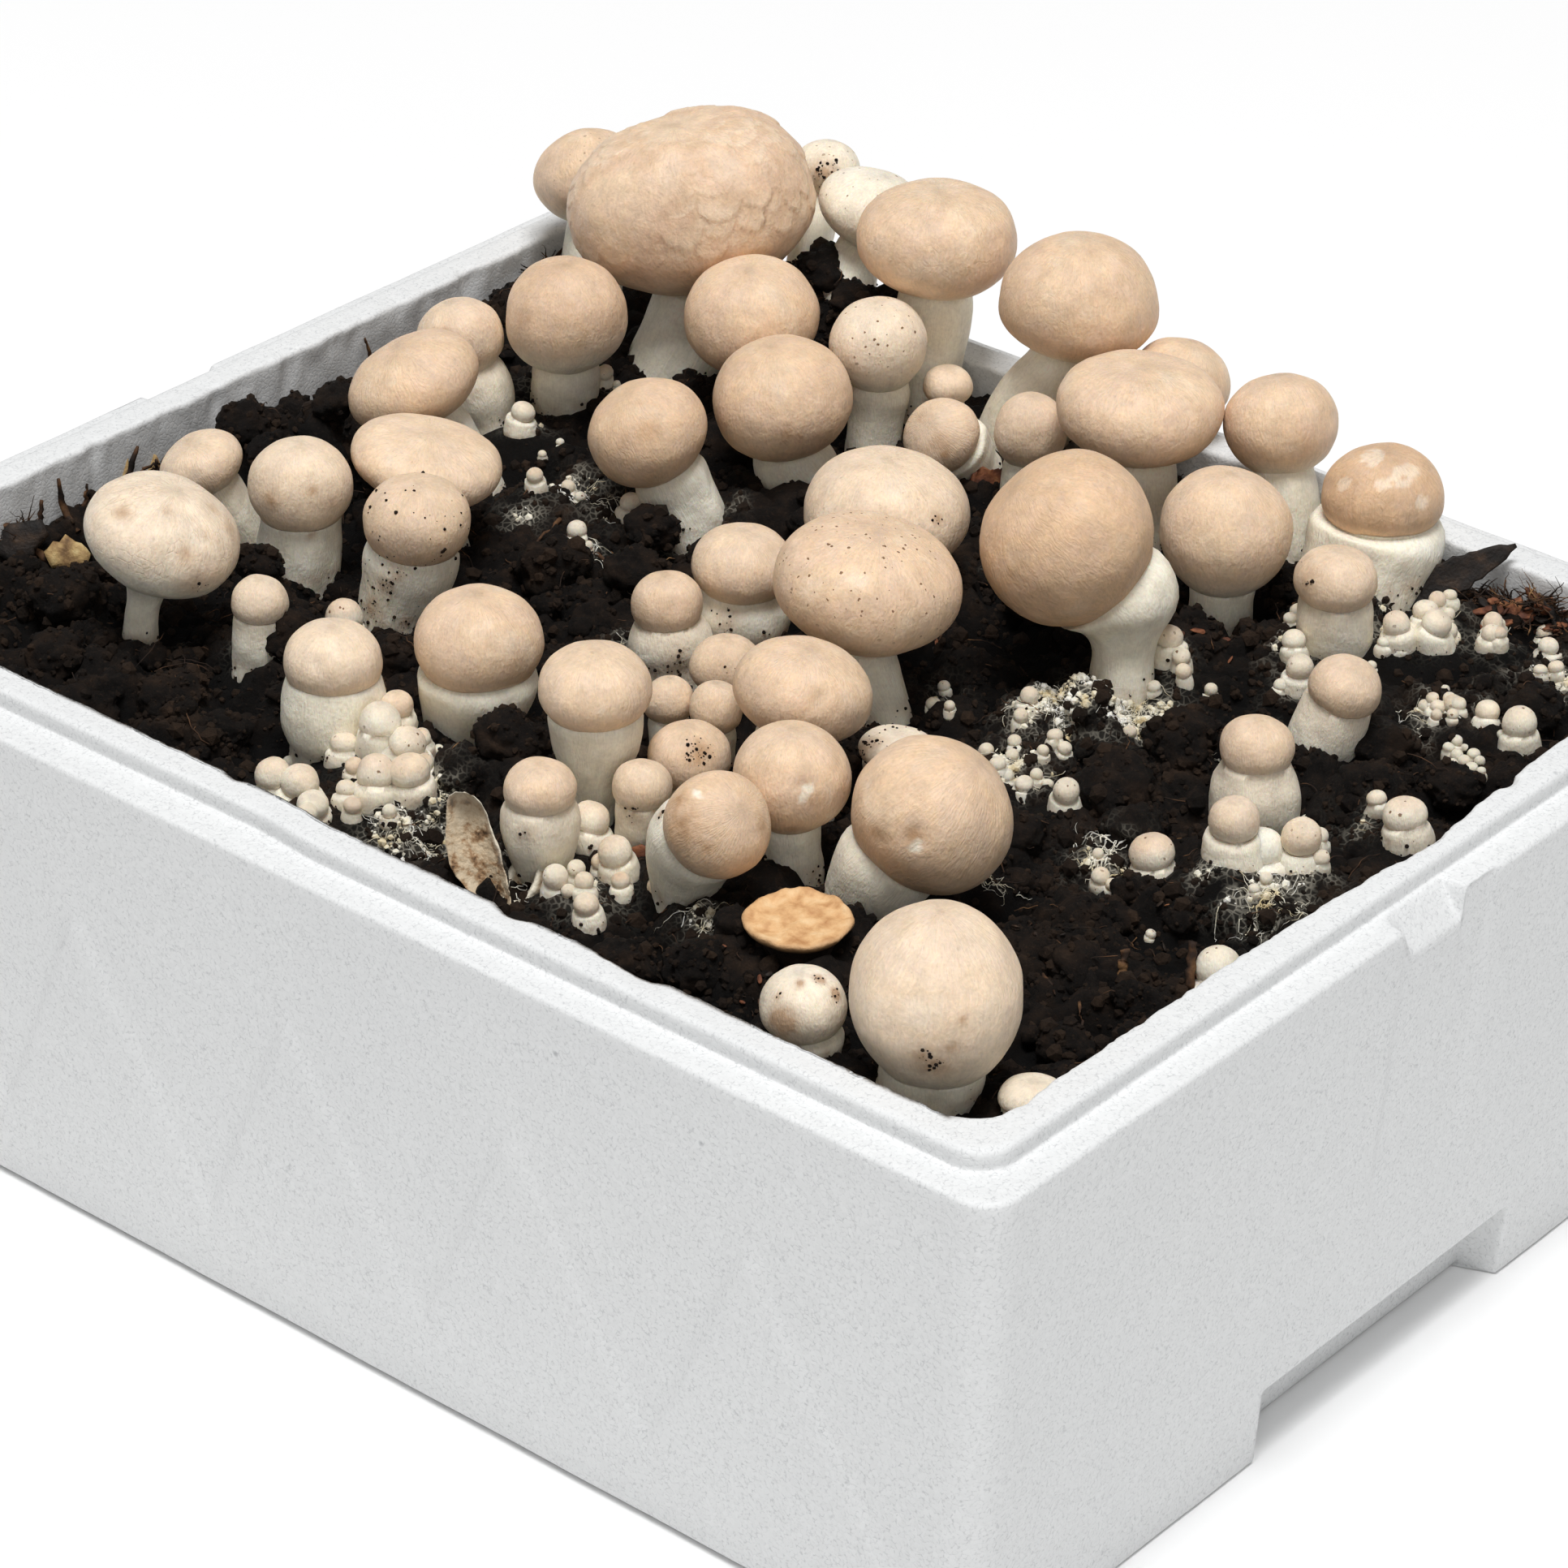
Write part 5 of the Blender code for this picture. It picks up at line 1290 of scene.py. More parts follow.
# The smallest buttons: pixel of the photograph, radius in mm, how tan
youngPins = [
    (1785, 757, 1.6, 0.0), (1785, 777, 2.3, 0.1), (1738, 776, 1.9, 0.1), (1706, 792, 1.8, 0.0),
    (1726, 792, 2.0, 0.1), (1748, 766, 1.7, 0.0), (1755, 870, 1.6, 0.3), (1765, 860, 1.6, 0.3),
    (1776, 872, 1.8, 0.3), (1786, 861, 1.7, 0.2), (1797, 868, 1.9, 0.3), (1770, 881, 1.4, 0.3),
    (1790, 880, 1.5, 0.2), (1780, 851, 1.4, 0.2), (1785, 921, 1.5, 0.0), (1795, 913, 1.5, 0.0),
    (1806, 920, 1.7, 0.1), (1816, 929, 1.6, 0.0), (1795, 931, 1.6, 0.0), (1804, 939, 1.7, 0.1),
    (1813, 946, 1.6, 0.0), (1823, 938, 1.4, 0.0), (1790, 941, 1.3, 0.0), (1825, 950, 1.2, 0.0),
    (1838, 782, 2.6, 0.2), (1846, 770, 1.9, 0.1), (1832, 770, 1.6, 0.0), (1903, 780, 2.2, 0.5),
    (1917, 822, 2.0, 0.4), (1898, 826, 1.8, 0.3), (1215, 925, 1.9, 0.2), (1229, 941, 2.1, 0.1),
    (1247, 930, 1.7, 0.1), (1250, 914, 1.8, 0.2), (1240, 956, 1.8, 0.1), (1262, 966, 2.3, 0.1),
    (1277, 955, 1.6, 0.1), (1291, 966, 1.5, 0.0), (1225, 962, 1.6, 0.1), (1206, 947, 1.6, 0.1),
    (1268, 858, 2.3, 0.3), (1258, 882, 1.9, 0.3), (1300, 906, 2.0, 0.2), (1330, 882, 1.4, 0.1),
    (1392, 902, 1.8, 0.2), (1312, 922, 1.8, 0.1), (1285, 925, 1.5, 0.1), (1163, 846, 1.6, 0.2),
    (1150, 868, 1.9, 0.2), (1170, 870, 1.4, 0.1), (1422, 846, 1.7, 0.1), (1492, 850, 1.7, 0.2),
    (1590, 762, 1.8, 0.1), (1578, 845, 1.8, 0.1), (1560, 1082, 1.6, 0.0), (1545, 1095, 1.4, 0.0),
    (1353, 1052, 1.4, 0.3), (1370, 1090, 1.6, 0.4), (1356, 1080, 2.3, 0.4), (1418, 1151, 1.3, 0.0),
    (690, 545, 1.2, 0.0), (668, 560, 1.2, 0.2), (700, 600, 1.9, 0.2), (715, 612, 1.5, 0.0),
    (725, 672, 1.3, 0.1), (665, 483, 1.3, 0.0), (760, 474, 1.1, 0.1), (693, 492, 1.1, 0.0),
    (800, 640, 1.4, 0.0), (357, 940, 1.8, 0.0), (385, 998, 1.6, 0.1), (345, 975, 2.0, 0.3),
    (700, 1098, 1.8, 0.2), (740, 1062, 2.2, 0.6), (815, 1092, 3.4, 0.7), (765, 1085, 2.2, 0.7),
    (784, 1051, 2.0, 0.0), (737, 1010, 1.9, 0.5), (1655, 780, 1.3, 0.0), (1690, 820, 1.3, 0.1),
    (1850, 905, 1.2, 0.0), (1700, 870, 1.2, 0.0), (1610, 1010, 1.5, 0.0), (520, 905, 1.9, 0.3),
    (540, 925, 1.6, 0.0), (560, 935, 1.5, 0.1), (455, 945, 1.7, 0.1), (440, 975, 2.0, 0.1),
    (480, 1000, 1.8, 0.0), (533, 890, 1.4, 0.2),
]


def pinPart(x, y, z, radius, seed, tone=None):
    rng = random.Random(seed * 7.7)
    ground = min(groundAt(x, y), z - radius * 0.8)
    foot = (x + rng.uniform(-0.3, 0.3) * radius, y + rng.uniform(-0.3, 0.3) * radius)
    size = (radius, radius * rng.uniform(0.8, 1.1), radius * rng.uniform(0.8, 1.0))
    stem = (radius * 0.9, radius)
    lean = (rng.uniform(-0.35, 0.35), rng.uniform(-0.35, 0.35), 1)
    sides, fineness = (14, 0.35) if radius < 3 else (28, 0.6)
    look = {"tone": rng.uniform(0.3, 0.9) if tone is None else tone, "skinEnds": rng.uniform(-0.3, 0.4),
            "crease": 0.03, "melts": 0.3}
    look["speckled"] = rng.choice((0, 0.2, 0.6, 1.0))
    wide = radius * rng.uniform(0.98, 1.3)
    neck = radius * rng.uniform(0.86, 0.92)
    look["stem"] = [(0, wide * 1.15), (0.5, wide * 1.05), (0.8, wide * 0.98), (1, neck)]
    return mushroomPart((x, y, z), size, foot, stem, lean, ground, seed, sides, fineness, look)


def makePins(material):
    seed = 100
    groups = [(name, pins, [pinNodes[name]]) for name, pins in pinGroups.items()]
    groups += [("twinButtons", twinButtons, ["button_twins"]), ("looseButtons", singleButtons, [])]
    for name, pins, nodes in groups:
        parts = [pinPart(*pin[:4], seed + 1 + i, *pin[4:]) for i, pin in enumerate(pins)]
        seed += len(pins)
        makeJoined(name, parts, material, nodes)
    parts = []
    for u, v, radius, tone in youngPins:
        seed += 1
        place = standAt(u, v, radius * (0.7 + 0.5 * (seed * 0.618 % 1)))
        parts.append(pinPart(*place, radius, seed, min(1.0, tone + 0.25)))
    makeJoined("youngPins", parts, material)


makePins(skin)
report("young buttons are in place")


# Clods, crumbs and fibres of the soil

def unitBall(level):
    # Points and triangles of a ball of radius 1
    mesh = bmesh.new()
    bmesh.ops.create_icosphere(mesh, subdivisions=level, radius=1)
    points = np.array([v.co for v in mesh.verts])
    faces = [tuple(v.index for v in f.verts) for f in mesh.faces]
    mesh.free()
    return points, faces


balls = {level: unitBall(level) for level in (3, 4)}


def clodPart(x, y, z, radius, seed, squash=(1.0, 0.9, 0.8)):
    ball, faces = balls[4 if radius > casingSoil["fineClod"] else 3]
    rough = 1 + 0.3 * waves(ball, 0.9, seed) + 0.17 * waves(ball, 0.4, seed + 3)
    rough += 0.12 * waves(ball, 0.19, seed + 6)
    turn = seed * 2.4
    points = ball * np.array(squash)
    spun = points.copy()
    spun[:, 0] = points[:, 0] * math.cos(turn) - points[:, 1] * math.sin(turn)
    spun[:, 1] = points[:, 0] * math.sin(turn) + points[:, 1] * math.cos(turn)
    return spun * (radius * rough)[:, None] + np.array([x, y, z]), faces, {}


def makeClods(material):
    rng = random.Random(11)
    parts = [clodPart(*clod, 3.7 * i) for i, clod in enumerate(casingSoil["clods"])]
    feet = [(foot[0], foot[1], stem[1]) for _, _, foot, stem, _ in mushrooms.values()]
    feet += [(pin[0], pin[1], pin[3]) for pin in buttons]
    for u, v, radius, _ in youngPins:
        place = standAt(u, v, radius)
        feet.append((place.x, place.y, radius))
    placed = 0
    while placed < casingSoil["strayClods"]:
        radius = rng.uniform(1.8, 4.5)
        x = rng.uniform(-soilHalf[0] + radius, soilHalf[0] - radius)
        y = rng.uniform(-soilHalf[1] + radius, soilHalf[1] - radius)
        if any(math.hypot(x - fx, y - fy) < fr + radius * 0.8 for fx, fy, fr in feet):
            continue
        parts.append(clodPart(x, y, groundAt(x, y) + radius * 0.15, radius, 50 + placed))
        placed += 1
    points, faces, _ = joinParts(parts)
    layers = {"mould": 0.7 * mouldOver(points), "relief": np.full(len(points), 0.5)}
    makePiece("soilClods", points, faces, material, layers=layers)
    return points, faces, layers["mould"]


def scatterTree(name, kind):
    # Geometry Nodes: crumbs or fibres spread over a surface where its "scatter" layer says
    tree = bpy.data.node_groups.new(name, "GeometryNodeTree")
    named = {"Surface": "Geometry", "Density": "Float", "Smallest": "Float", "Largest": "Float",
             "Thickness": "Float", "Crook": "Float", "Seed": "Int", "Finish": "Material"}
    for word, socket in named.items():
        tree.interface.new_socket(word, in_out="INPUT", socket_type="NodeSocket" + socket)
    tree.interface.new_socket("Scattered", in_out="OUTPUT", socket_type="NodeSocketGeometry")
    grains = kind == "crumbs"

    def node(what, inputs, out=0, **settings):
        return addNode(tree, what, settings, inputs).outputs[out]

    given = addNode(tree, "NodeGroupInput").outputs
    mask = node("GeometryNodeInputNamedAttribute", {"Name": "scatter"}, data_type="FLOAT")
    dense = node("ShaderNodeMath", {0: given["Density"], 1: mask}, operation="MULTIPLY")
    spots = node("GeometryNodeDistributePointsOnFaces", {
        "Mesh": given["Surface"], "Density": dense, "Seed": given["Seed"]}, "Points")
    chance = node("FunctionNodeRandomValue", {8: given["Seed"]}, 1, data_type="FLOAT")
    few = node("ShaderNodeMath", {0: chance, 1: 2.5}, operation="POWER")
    size = node("ShaderNodeMapRange", {"Value": few, 3: given["Smallest"], 4: given["Largest"]})
    lowest, highest = ((0, 0, 0), (6.28, 6.28, 6.28)) if grains else ((-0.5, -0.5, 0), (0.5, 0.5, 6.28))
    turned = node("FunctionNodeRandomValue", {
        0: lowest, 1: highest, 8: given["Seed"]}, data_type="FLOAT_VECTOR")
    if grains:
        shape = node("GeometryNodeMeshIcoSphere", {"Radius": 1.0, "Subdivisions": 1}, "Mesh")
    else:
        shape = node("GeometryNodeCurveQuadraticBezier", {
            "Resolution": 7, "Start": (-0.5, 0, 0), "Middle": (0.05, 0.22, 0.16), "End": (0.5, 0, 0)})
    put = node("GeometryNodeInstanceOnPoints", {
        "Points": spots, "Instance": shape, "Rotation": turned, "Scale": size})
    pick = node("FunctionNodeRandomValue", {8: 99}, 1, data_type="FLOAT")
    put = node("GeometryNodeStoreNamedAttribute", {
        "Geometry": put, "Name": "shade", "Value": pick}, data_type="FLOAT", domain="INSTANCE")
    real = node("GeometryNodeRealizeInstances", {0: put})
    wave = 1.1 * mm if grains else 3.5 * mm
    waver = node("ShaderNodeTexNoise", {"Scale": 1 / wave, "Detail": 1.0}, "Color")
    centred = node("ShaderNodeVectorMath", {0: waver, 1: (0.5, 0.5, 0.5)}, operation="SUBTRACT")
    moved = node("ShaderNodeVectorMath", {0: centred, "Scale": given["Crook"]}, operation="SCALE")
    real = node("GeometryNodeSetPosition", {0: real, "Offset": moved})
    if not grains:
        ring = node("GeometryNodeCurvePrimitiveCircle", {"Resolution": 4, "Radius": given["Thickness"]})
        real = node("GeometryNodeCurveToMesh", {"Curve": real, "Profile Curve": ring, "Fill Caps": True})
    real = node("GeometryNodeSetShadeSmooth", {0: real, "Shade Smooth": not grains})
    done = node("GeometryNodeSetMaterial", {0: real, "Material": given["Finish"]})
    addNode(tree, "NodeGroupOutput", None, {0: done})
    return tree


def scatterOver(name, tree, surface, values):
    # Runs the tree over a surface (points, faces, how much at each point) and keeps the result as a plain mesh
    points, faces, amount = surface
    mesh = bpy.data.meshes.new(name + "Base")
    mesh.from_pydata((np.asarray(points) * mm).tolist(), [], faces)
    mesh.attributes.new("scatter", "FLOAT", "POINT").data.foreach_set("value", np.asarray(amount, float))
    carrier = placeObject(name + "Base", mesh)
    modifier = carrier.modifiers.new("scatter", "NODES")
    modifier.node_group = tree
    for item in tree.interface.items_tree:
        if item.item_type == "SOCKET" and item.in_out == "INPUT" and item.name in values:
            modifier[item.identifier] = values[item.name]
    graph = bpy.context.evaluated_depsgraph_get()
    made = bpy.data.meshes.new_from_object(carrier.evaluated_get(graph))
    made.name = name
    bpy.data.objects.remove(carrier)
    toPiece(name, made)
    report(f"{name} has {len(made.polygons)} faces")


# How many per square metre, sizes, how bent each is, and the seed
crumbs = {
    "crumbsFine": (70000.0, 0.3, 0.9, 0.6, 3),
    "crumbsMiddle": (62000.0, 0.6, 1.6, 1.0, 13),
    "crumbsCoarse": (24000.0, 1.0, 2.7, 1.6, 23),
    "skinCrumbs": (340000.0, 0.12, 0.6, 0.4, 8),
    "mouldCrumbs": (1500000.0, 0.25, 1.3, 0.9, 6),
}
fibres = {  # the same, and how thick
    "soilFibres": (6500.0, 3, 15, 3.0, 5, 0.14),
    "mouldThreads": (330000.0, 2, 9, 2.4, 9, 0.07),
}


def makeScattered(peat, dry, white):
    clodPoints, clodFaces, clodMould = makeClods(peat)
    joined, faces, _ = joinParts([(soilGrid, soilFaces, {}), (clodPoints, clodFaces, {})])
    mould = np.concatenate([soilMould, clodMould])
    amount = np.clip(0.6 + 1.2 * waves(joined, 16, 4.0), 0.1, 1.2)
    crumbTree, threadTree = scatterTree("soilCrumbs", "crumbs"), scatterTree("soilFibres", "fibres")

    def scatter(name, level, finish):
        tree = crumbTree if name in crumbs else threadTree
        density, smallest, largest, crook, seed, *thick = (crumbs if name in crumbs else fibres)[name]
        values = {"Density": density, "Smallest": smallest * mm, "Largest": largest * mm, "Crook": crook * mm,
                  "Seed": seed, "Finish": finish}
        if thick:
            values["Thickness"] = thick[0] * mm
        scatterOver(name, tree, (joined, faces, level), values)

    for name in ("crumbsFine", "crumbsMiddle", "crumbsCoarse"):
        scatter(name, amount, peat)
    scatter("soilFibres", amount, dry)
    scatter("mouldCrumbs", np.clip(mould - 0.35, 0, 1), white)
    scatter("mouldThreads", np.clip(mould - 0.2, 0, 1), white)
    parts, soiled = [], []
    for obj in list(bpy.context.scene.objects):
        if obj.type == "MESH" and "soiled" in obj.data.attributes:
            data = obj.data
            points, level = np.empty(len(data.vertices) * 3), np.empty(len(data.vertices))
            data.vertices.foreach_get("co", points)
            data.attributes["soiled"].data.foreach_get("value", level)
            parts.append((points.reshape(-1, 3) / mm, [tuple(f.vertices) for f in data.polygons], {}))
            soiled.append(level)
    joined, faces, _ = joinParts(parts)
    scatter("skinCrumbs", np.clip(np.concatenate(soiled), 0, 5), peat)


# Coir and root threads in the peat: dry, matt, from straw to dark brown
coir = driedMaterial(
    "dryCoirFibre", (5, 3.0), ((0.3, "17100C"), (0.48, "2F2016"), (0.6, "5A3E28"), (0.75, "93704A")),
    (0.6, 3.0), (0.6, 0.2), Roughness=0.8, Specular_IOR_Level=0.3)
# Mushroom threads, grown: soft matt white, yellowing where they are old
threadWhite = driedMaterial(
    "whiteMycelium", (7, 3.0), ((0.32, "F1EEE6"), (0.52, "E6DEC8"), (0.66, "D2C098"), (0.8, "A98F62")),
    (0.7, 4.0), (0.7, 0.3), Roughness=0.85, Subsurface_Weight=0.2, Subsurface_Scale=1.0 * mm,
    Subsurface_Radius=(1.0, 0.7, 0.4))
makeScattered(soil, coir, threadWhite)
report("clods, crumbs and fibres are in place")


# Threads, twigs and other litter

def tubePart(path, radii, sides):
    # A tapering tube along a list of points
    path = [Vector(p) for p in path]
    points = []
    for i, point in enumerate(path):
        along = (path[min(i + 1, len(path) - 1)] - path[max(i - 1, 0)]).normalized()
        side = along.orthogonal().normalized()
        other = along.cross(side)
        for k in range(sides):
            angle = 2 * math.pi * k / sides
            points.append(point + (side * math.cos(angle) + other * math.sin(angle)) * radii[i])
    points += [path[-1], path[0]]
    return np.array(points), ringFaces(len(path), sides, True), {}


def insideBed(point):
    # The point, or the nearest one that is clear of the walls
    half = [h - 1.5 for h in soilHalf]
    return Vector((min(max(point.x, -half[0]), half[0]), min(max(point.y, -half[1]), half[1]), point.z))


def strandPart(start, rng, length, radius, rise=0.0, wander=0.5, cling=True):
    # One thread or twig that wanders from a point, over the soil where it clings to it
    step = max(0.7, length / 14)
    angle = rng.uniform(0, 6.28)
    point = Vector(start)
    path = [point.copy()]
    for _ in range(max(3, round(length / step))):
        angle += rng.gauss(0, wander)
        point = point + Vector((math.cos(angle), math.sin(angle), rise + rng.gauss(0, 0.15))) * step
        if cling:
            point.z = groundAt(point.x, point.y) + 0.35 + rng.uniform(0, 0.5)
        path.append(insideBed(point))
    count = len(path) - 1
    radii = [radius * (1 - 0.75 * i / count) for i in range(count + 1)]
    return tubePart(path, radii, 4)


# Bursts of white threads: pixel of the photograph, how many, length in mm, radius of each
threadBursts = [
    (1365, 1045, 16, 10, 0.2), (1380, 1030, 10, 8, 0.22), (1355, 1070, 14, 7, 0.22), (1335, 1035, 8, 7, 0.16),
    (866, 1130, 14, 8, 0.16), (1560, 1100, 18, 9, 0.2), (1545, 1125, 14, 8, 0.2), (1590, 1115, 12, 8, 0.16),
    (505, 1020, 16, 12, 0.16), (540, 985, 12, 9, 0.2), (520, 1045, 12, 8, 0.16), (735, 675, 12, 6, 0.12),
    (1345, 865, 26, 9, 0.16), (1390, 880, 18, 8, 0.16), (1300, 870, 16, 7, 0.16), (1230, 940, 14, 7, 0.16),
    (1495, 935, 8, 7, 0.12), (1740, 880, 10, 8, 0.12), (700, 610, 12, 8, 0.16), (750, 620, 10, 8, 0.16),
    (690, 485, 12, 8, 0.14), (1225, 1090, 10, 8, 0.14), (640, 1100, 8, 7, 0.14), (1620, 880, 8, 6, 0.14),
]
# Twigs and straws: pixels of the two ends, and the radius at each end
twigs = [
    ((45, 655), (26, 605), 1.0, 0.5), ((96, 655), (44, 578), 1.2, 0.5), ((62, 608), (52, 572), 0.7, 0.3),
    ((140, 600), (152, 542), 1.1, 0.5), ((190, 582), (168, 556), 0.9, 0.4), ((150, 600), (190, 570), 0.9, 0.4),
    ((437, 440), (388, 392), 0.7, 0.3), ((425, 428), (438, 416), 0.5, 0.2),
    ((1383, 1205), (1386, 1170), 1.2, 1.1), ((1466, 1218), (1470, 1160), 1.3, 0.9),
    ((1478, 1205), (1466, 1180), 0.7, 0.4), ((1275, 1150), (1290, 1170), 0.5, 0.3),
    ((1330, 1235), (1336, 1300), 0.4, 0.3), ((1285, 1200), (1300, 1225), 0.4, 0.3),
    ((760, 700), (700, 660), 0.8, 0.5), ((690, 640), (640, 690), 0.6, 0.4), ((30, 670), (5, 645), 1.5, 0.8),
    ((60, 690), (20, 662), 1.3, 0.9), ((1690, 690), (1720, 720), 0.5, 0.3),
    ((1640, 905), (1600, 880), 0.7, 0.4), ((655, 270), (650, 330), 0.8, 0.5),
    ((640, 300), (668, 280), 0.6, 0.4), ((598, 322), (604, 334), 0.7, 0.6), ((630, 335), (680, 318), 0.7, 0.4),
]
# Tufts of coir: pixel, how many strands, length in mm
tufts = [
    (1830, 740, 26, 7), (1860, 745, 30, 8), (1890, 745, 30, 9), (1915, 750, 26, 8), (1880, 775, 20, 8),
    (1925, 780, 16, 7), (655, 315, 22, 7), (640, 330, 14, 6), (30, 660, 18, 8), (10, 668, 16, 7),
    (170, 580, 10, 6),
]


# Chips of coir and bark: pixel, how many, size in mm, spread in mm
chips = [
    (1835, 745, 8, 2.6, 5), (1870, 748, 10, 3.0, 5), (1905, 752, 10, 3.0, 5), (1890, 775, 6, 2.2, 4),
    (1925, 770, 6, 2.4, 3), (1240, 610, 2, 2.6, 1.5), (655, 320, 5, 2.4, 3), (1470, 880, 3, 2.0, 3),
    (1500, 800, 5, 2.0, 7), (30, 660, 8, 3.2, 5), (12, 675, 6, 2.8, 4), (175, 583, 4, 2.2, 2),
    (760, 1075, 3, 2.4, 2), (1620, 890, 4, 2.2, 2.5), (930, 1240, 3, 1.6, 4), (1300, 1180, 4, 1.4, 9),
    (1150, 790, 3, 1.4, 5), (700, 690, 4, 1.8, 5), (1440, 1130, 4, 1.5, 6), (860, 1180, 4, 1.5, 7),
]
# Flat pieces: pixels along the middle, widths in mm there, thickness, and which material
blades = [
    ([(1730, 742), (1762, 724), (1800, 706), (1835, 688), (1868, 672)], (2.6, 4.6, 4.2, 3.0, 0.6), 0.7, "bark"),
    ([(1748, 738), (1788, 700), (1822, 684)], (1.2, 2.6, 0.5), 0.5, "bark"),
    ([(1196, 612), (1208, 600), (1228, 595), (1250, 600)], (1.6, 3.2, 3.4, 0.8), 0.5, "husk"),
    ([(738, 1042), (752, 1058), (772, 1075), (800, 1088)], (1.5, 3.0, 3.2, 1.0), 0.6, "husk"),
    ([(60, 692), (82, 682), (110, 690)], (2.4, 4.4, 1.8), 2.0, "leaf"),
    ([(150, 600), (146, 570), (152, 540)], (2.0, 2.6, 0.5), 0.5, "leaf"),
    ([(196, 588), (184, 568), (168, 550)], (1.8, 2.2, 0.5), 0.5, "leaf"),
    ([(8, 690), (28, 664), (56, 650)], (3.6, 5.0, 2.4), 2.0, "bark"),
]


def bladePart(path, widths, thickness):
    # A thin strip along a path, with its flat side to the viewer
    back, sides = viewAxes()[2], 12
    points = []
    for i, point in enumerate(path):
        along = (path[min(i + 1, len(path) - 1)] - path[max(i - 1, 0)]).normalized()
        wide = along.cross(back).normalized()
        flat = wide.cross(along)
        for k in range(sides):
            angle = 2 * math.pi * k / sides
            high = thickness * math.sin(angle) + 0.25 * widths[i] * math.cos(angle) ** 2
            points.append(point + wide * (widths[i] * math.cos(angle)) + flat * high)
    points += [path[-1], path[0]]
    return np.array(points), ringFaces(len(path), sides, True), {}


def makeChips(bark, husk, leaf):
    rng = random.Random(77)
    parts = {"bark": [], "husk": [], "leaf": []}
    for index, (u, v, count, size, spreadOut) in enumerate(chips):
        middle = standAt(u, v)
        for k in range(count):
            x, y = middle.x + rng.gauss(0, spreadOut * 0.6), middle.y + rng.gauss(0, spreadOut * 0.6)
            own = size * rng.uniform(0.5, 1.3)
            points, faces, _ = clodPart(0, 0, 0, own, index * 7.1 + k, (1.0, rng.uniform(0.35, 0.7), 0.22))
            turn = Vector((rng.gauss(0, 0.6), rng.gauss(0, 0.6), 1)).rotation_difference(up)
            points = np.array([turn @ Vector(p) for p in points])
            points += np.array((x, y, groundAt(x, y) + 0.5 + rng.uniform(0, 0.6)))
            parts["bark" if rng.random() < 0.4 else "leaf" if u < 400 else "husk"].append((points, faces, {}))
    for pixels, widths, thickness, kind in blades:
        path, wide = [], []
        foot = standAt(*pixels[0], 0.8)
        line = [besides(foot, u - pixels[0][0], v - pixels[0][1]) for u, v in pixels]
        for i in range(4 * (len(line) - 1) + 1):
            share = i / 4
            low = min(int(share), len(line) - 2)
            point = line[low].lerp(line[low + 1], share - low)
            point.z = max(point.z, groundAt(point.x, point.y) + 0.8)
            path.append(point)
            width = widths[low] + (widths[low + 1] - widths[low]) * (share - low)
            wide.append(width * rng.uniform(0.85, 1.15))
        parts[kind].append(bladePart(path, wide, thickness))
    for kind, material in (("bark", bark), ("husk", husk), ("leaf", leaf)):
        makeJoined(kind + "Chips", parts[kind], material)


def makeLitter(dry, white):
    rng = random.Random(41)
    parts = []
    for u, v, count, length, radius in threadBursts:
        middle = standAt(u, v, 0.4)
        for _ in range(count):
            near = Vector((middle.x + rng.gauss(0, 2), middle.y + rng.gauss(0, 2), 0))
            near.z = groundAt(near.x, near.y) + 0.5
            parts.append(strandPart(near, rng, length * rng.uniform(0.4, 1.2), radius * rng.uniform(0.6, 1.2)))
    makeJoined("whiteThreads", parts, white)
    parts = []
    for (u, v), (tipU, tipV), thick, thin in twigs:
        foot = standAt(u, v, 0.0)
        tip = besides(foot, tipU - u, tipV - v)
        if tip.z < groundAt(tip.x, tip.y):
            tip = standAt(tipU, tipV, 0.8)
        path, radii = [], []
        for i in range(9):
            share = i / 8
            wobble = Vector([rng.gauss(0, 0.35) for _ in range(3)]) * math.sin(math.pi * share)
            path.append(insideBed(foot.lerp(tip, share) + wobble))
            radii.append((thick + (thin - thick) * share) * rng.uniform(0.75, 1.2))
        parts.append(tubePart(path, radii, 7))
    for u, v, count, length in tufts:
        middle = standAt(u, v, 0.5)
        for _ in range(count):
            near = middle + Vector((rng.gauss(0, 2.2), rng.gauss(0, 2.2), rng.uniform(-1, 1.5)))
            long, thick = length * rng.uniform(0.4, 1.3), rng.uniform(0.15, 0.42)
            parts.append(strandPart(near, rng, long, thick, rng.uniform(0, 0.9), 0.45, cling=False))
    makeJoined("twigsAndCoir", parts, dry)


makeLitter(coir, threadWhite)
# Bark, coconut husk and dead leaf, dried: fibrous and matt
chipTints = {
    "dampBark": ((0.3, "0E0A08"), (0.5, "1E1611"), (0.65, "33261C"), (0.8, "5A4432")),
    "driedHusk": ((0.3, "351D13"), (0.45, "5C3524"), (0.6, "814F33"), (0.75, "AC7B52")),
    "driedLeaf": ((0.3, "5A412A"), (0.45, "8C6E48"), (0.6, "B89A68"), (0.75, "DCC894")),
}
makeChips(*[driedMaterial(name, (4, 4.0), stops, (0.8, 4.0), (0.8, 0.4), Roughness=0.7, Specular_IOR_Level=0.35)
            for name, stops in chipTints.items()])
report("threads and litter are in place")


# The cut stub and the old stem

cutStub = {"middle": (93, -95, 129.4), "radius": 12.0, "foot": 7.5, "sides": 72, "tilt": (-0.03, -0.05, 1)}
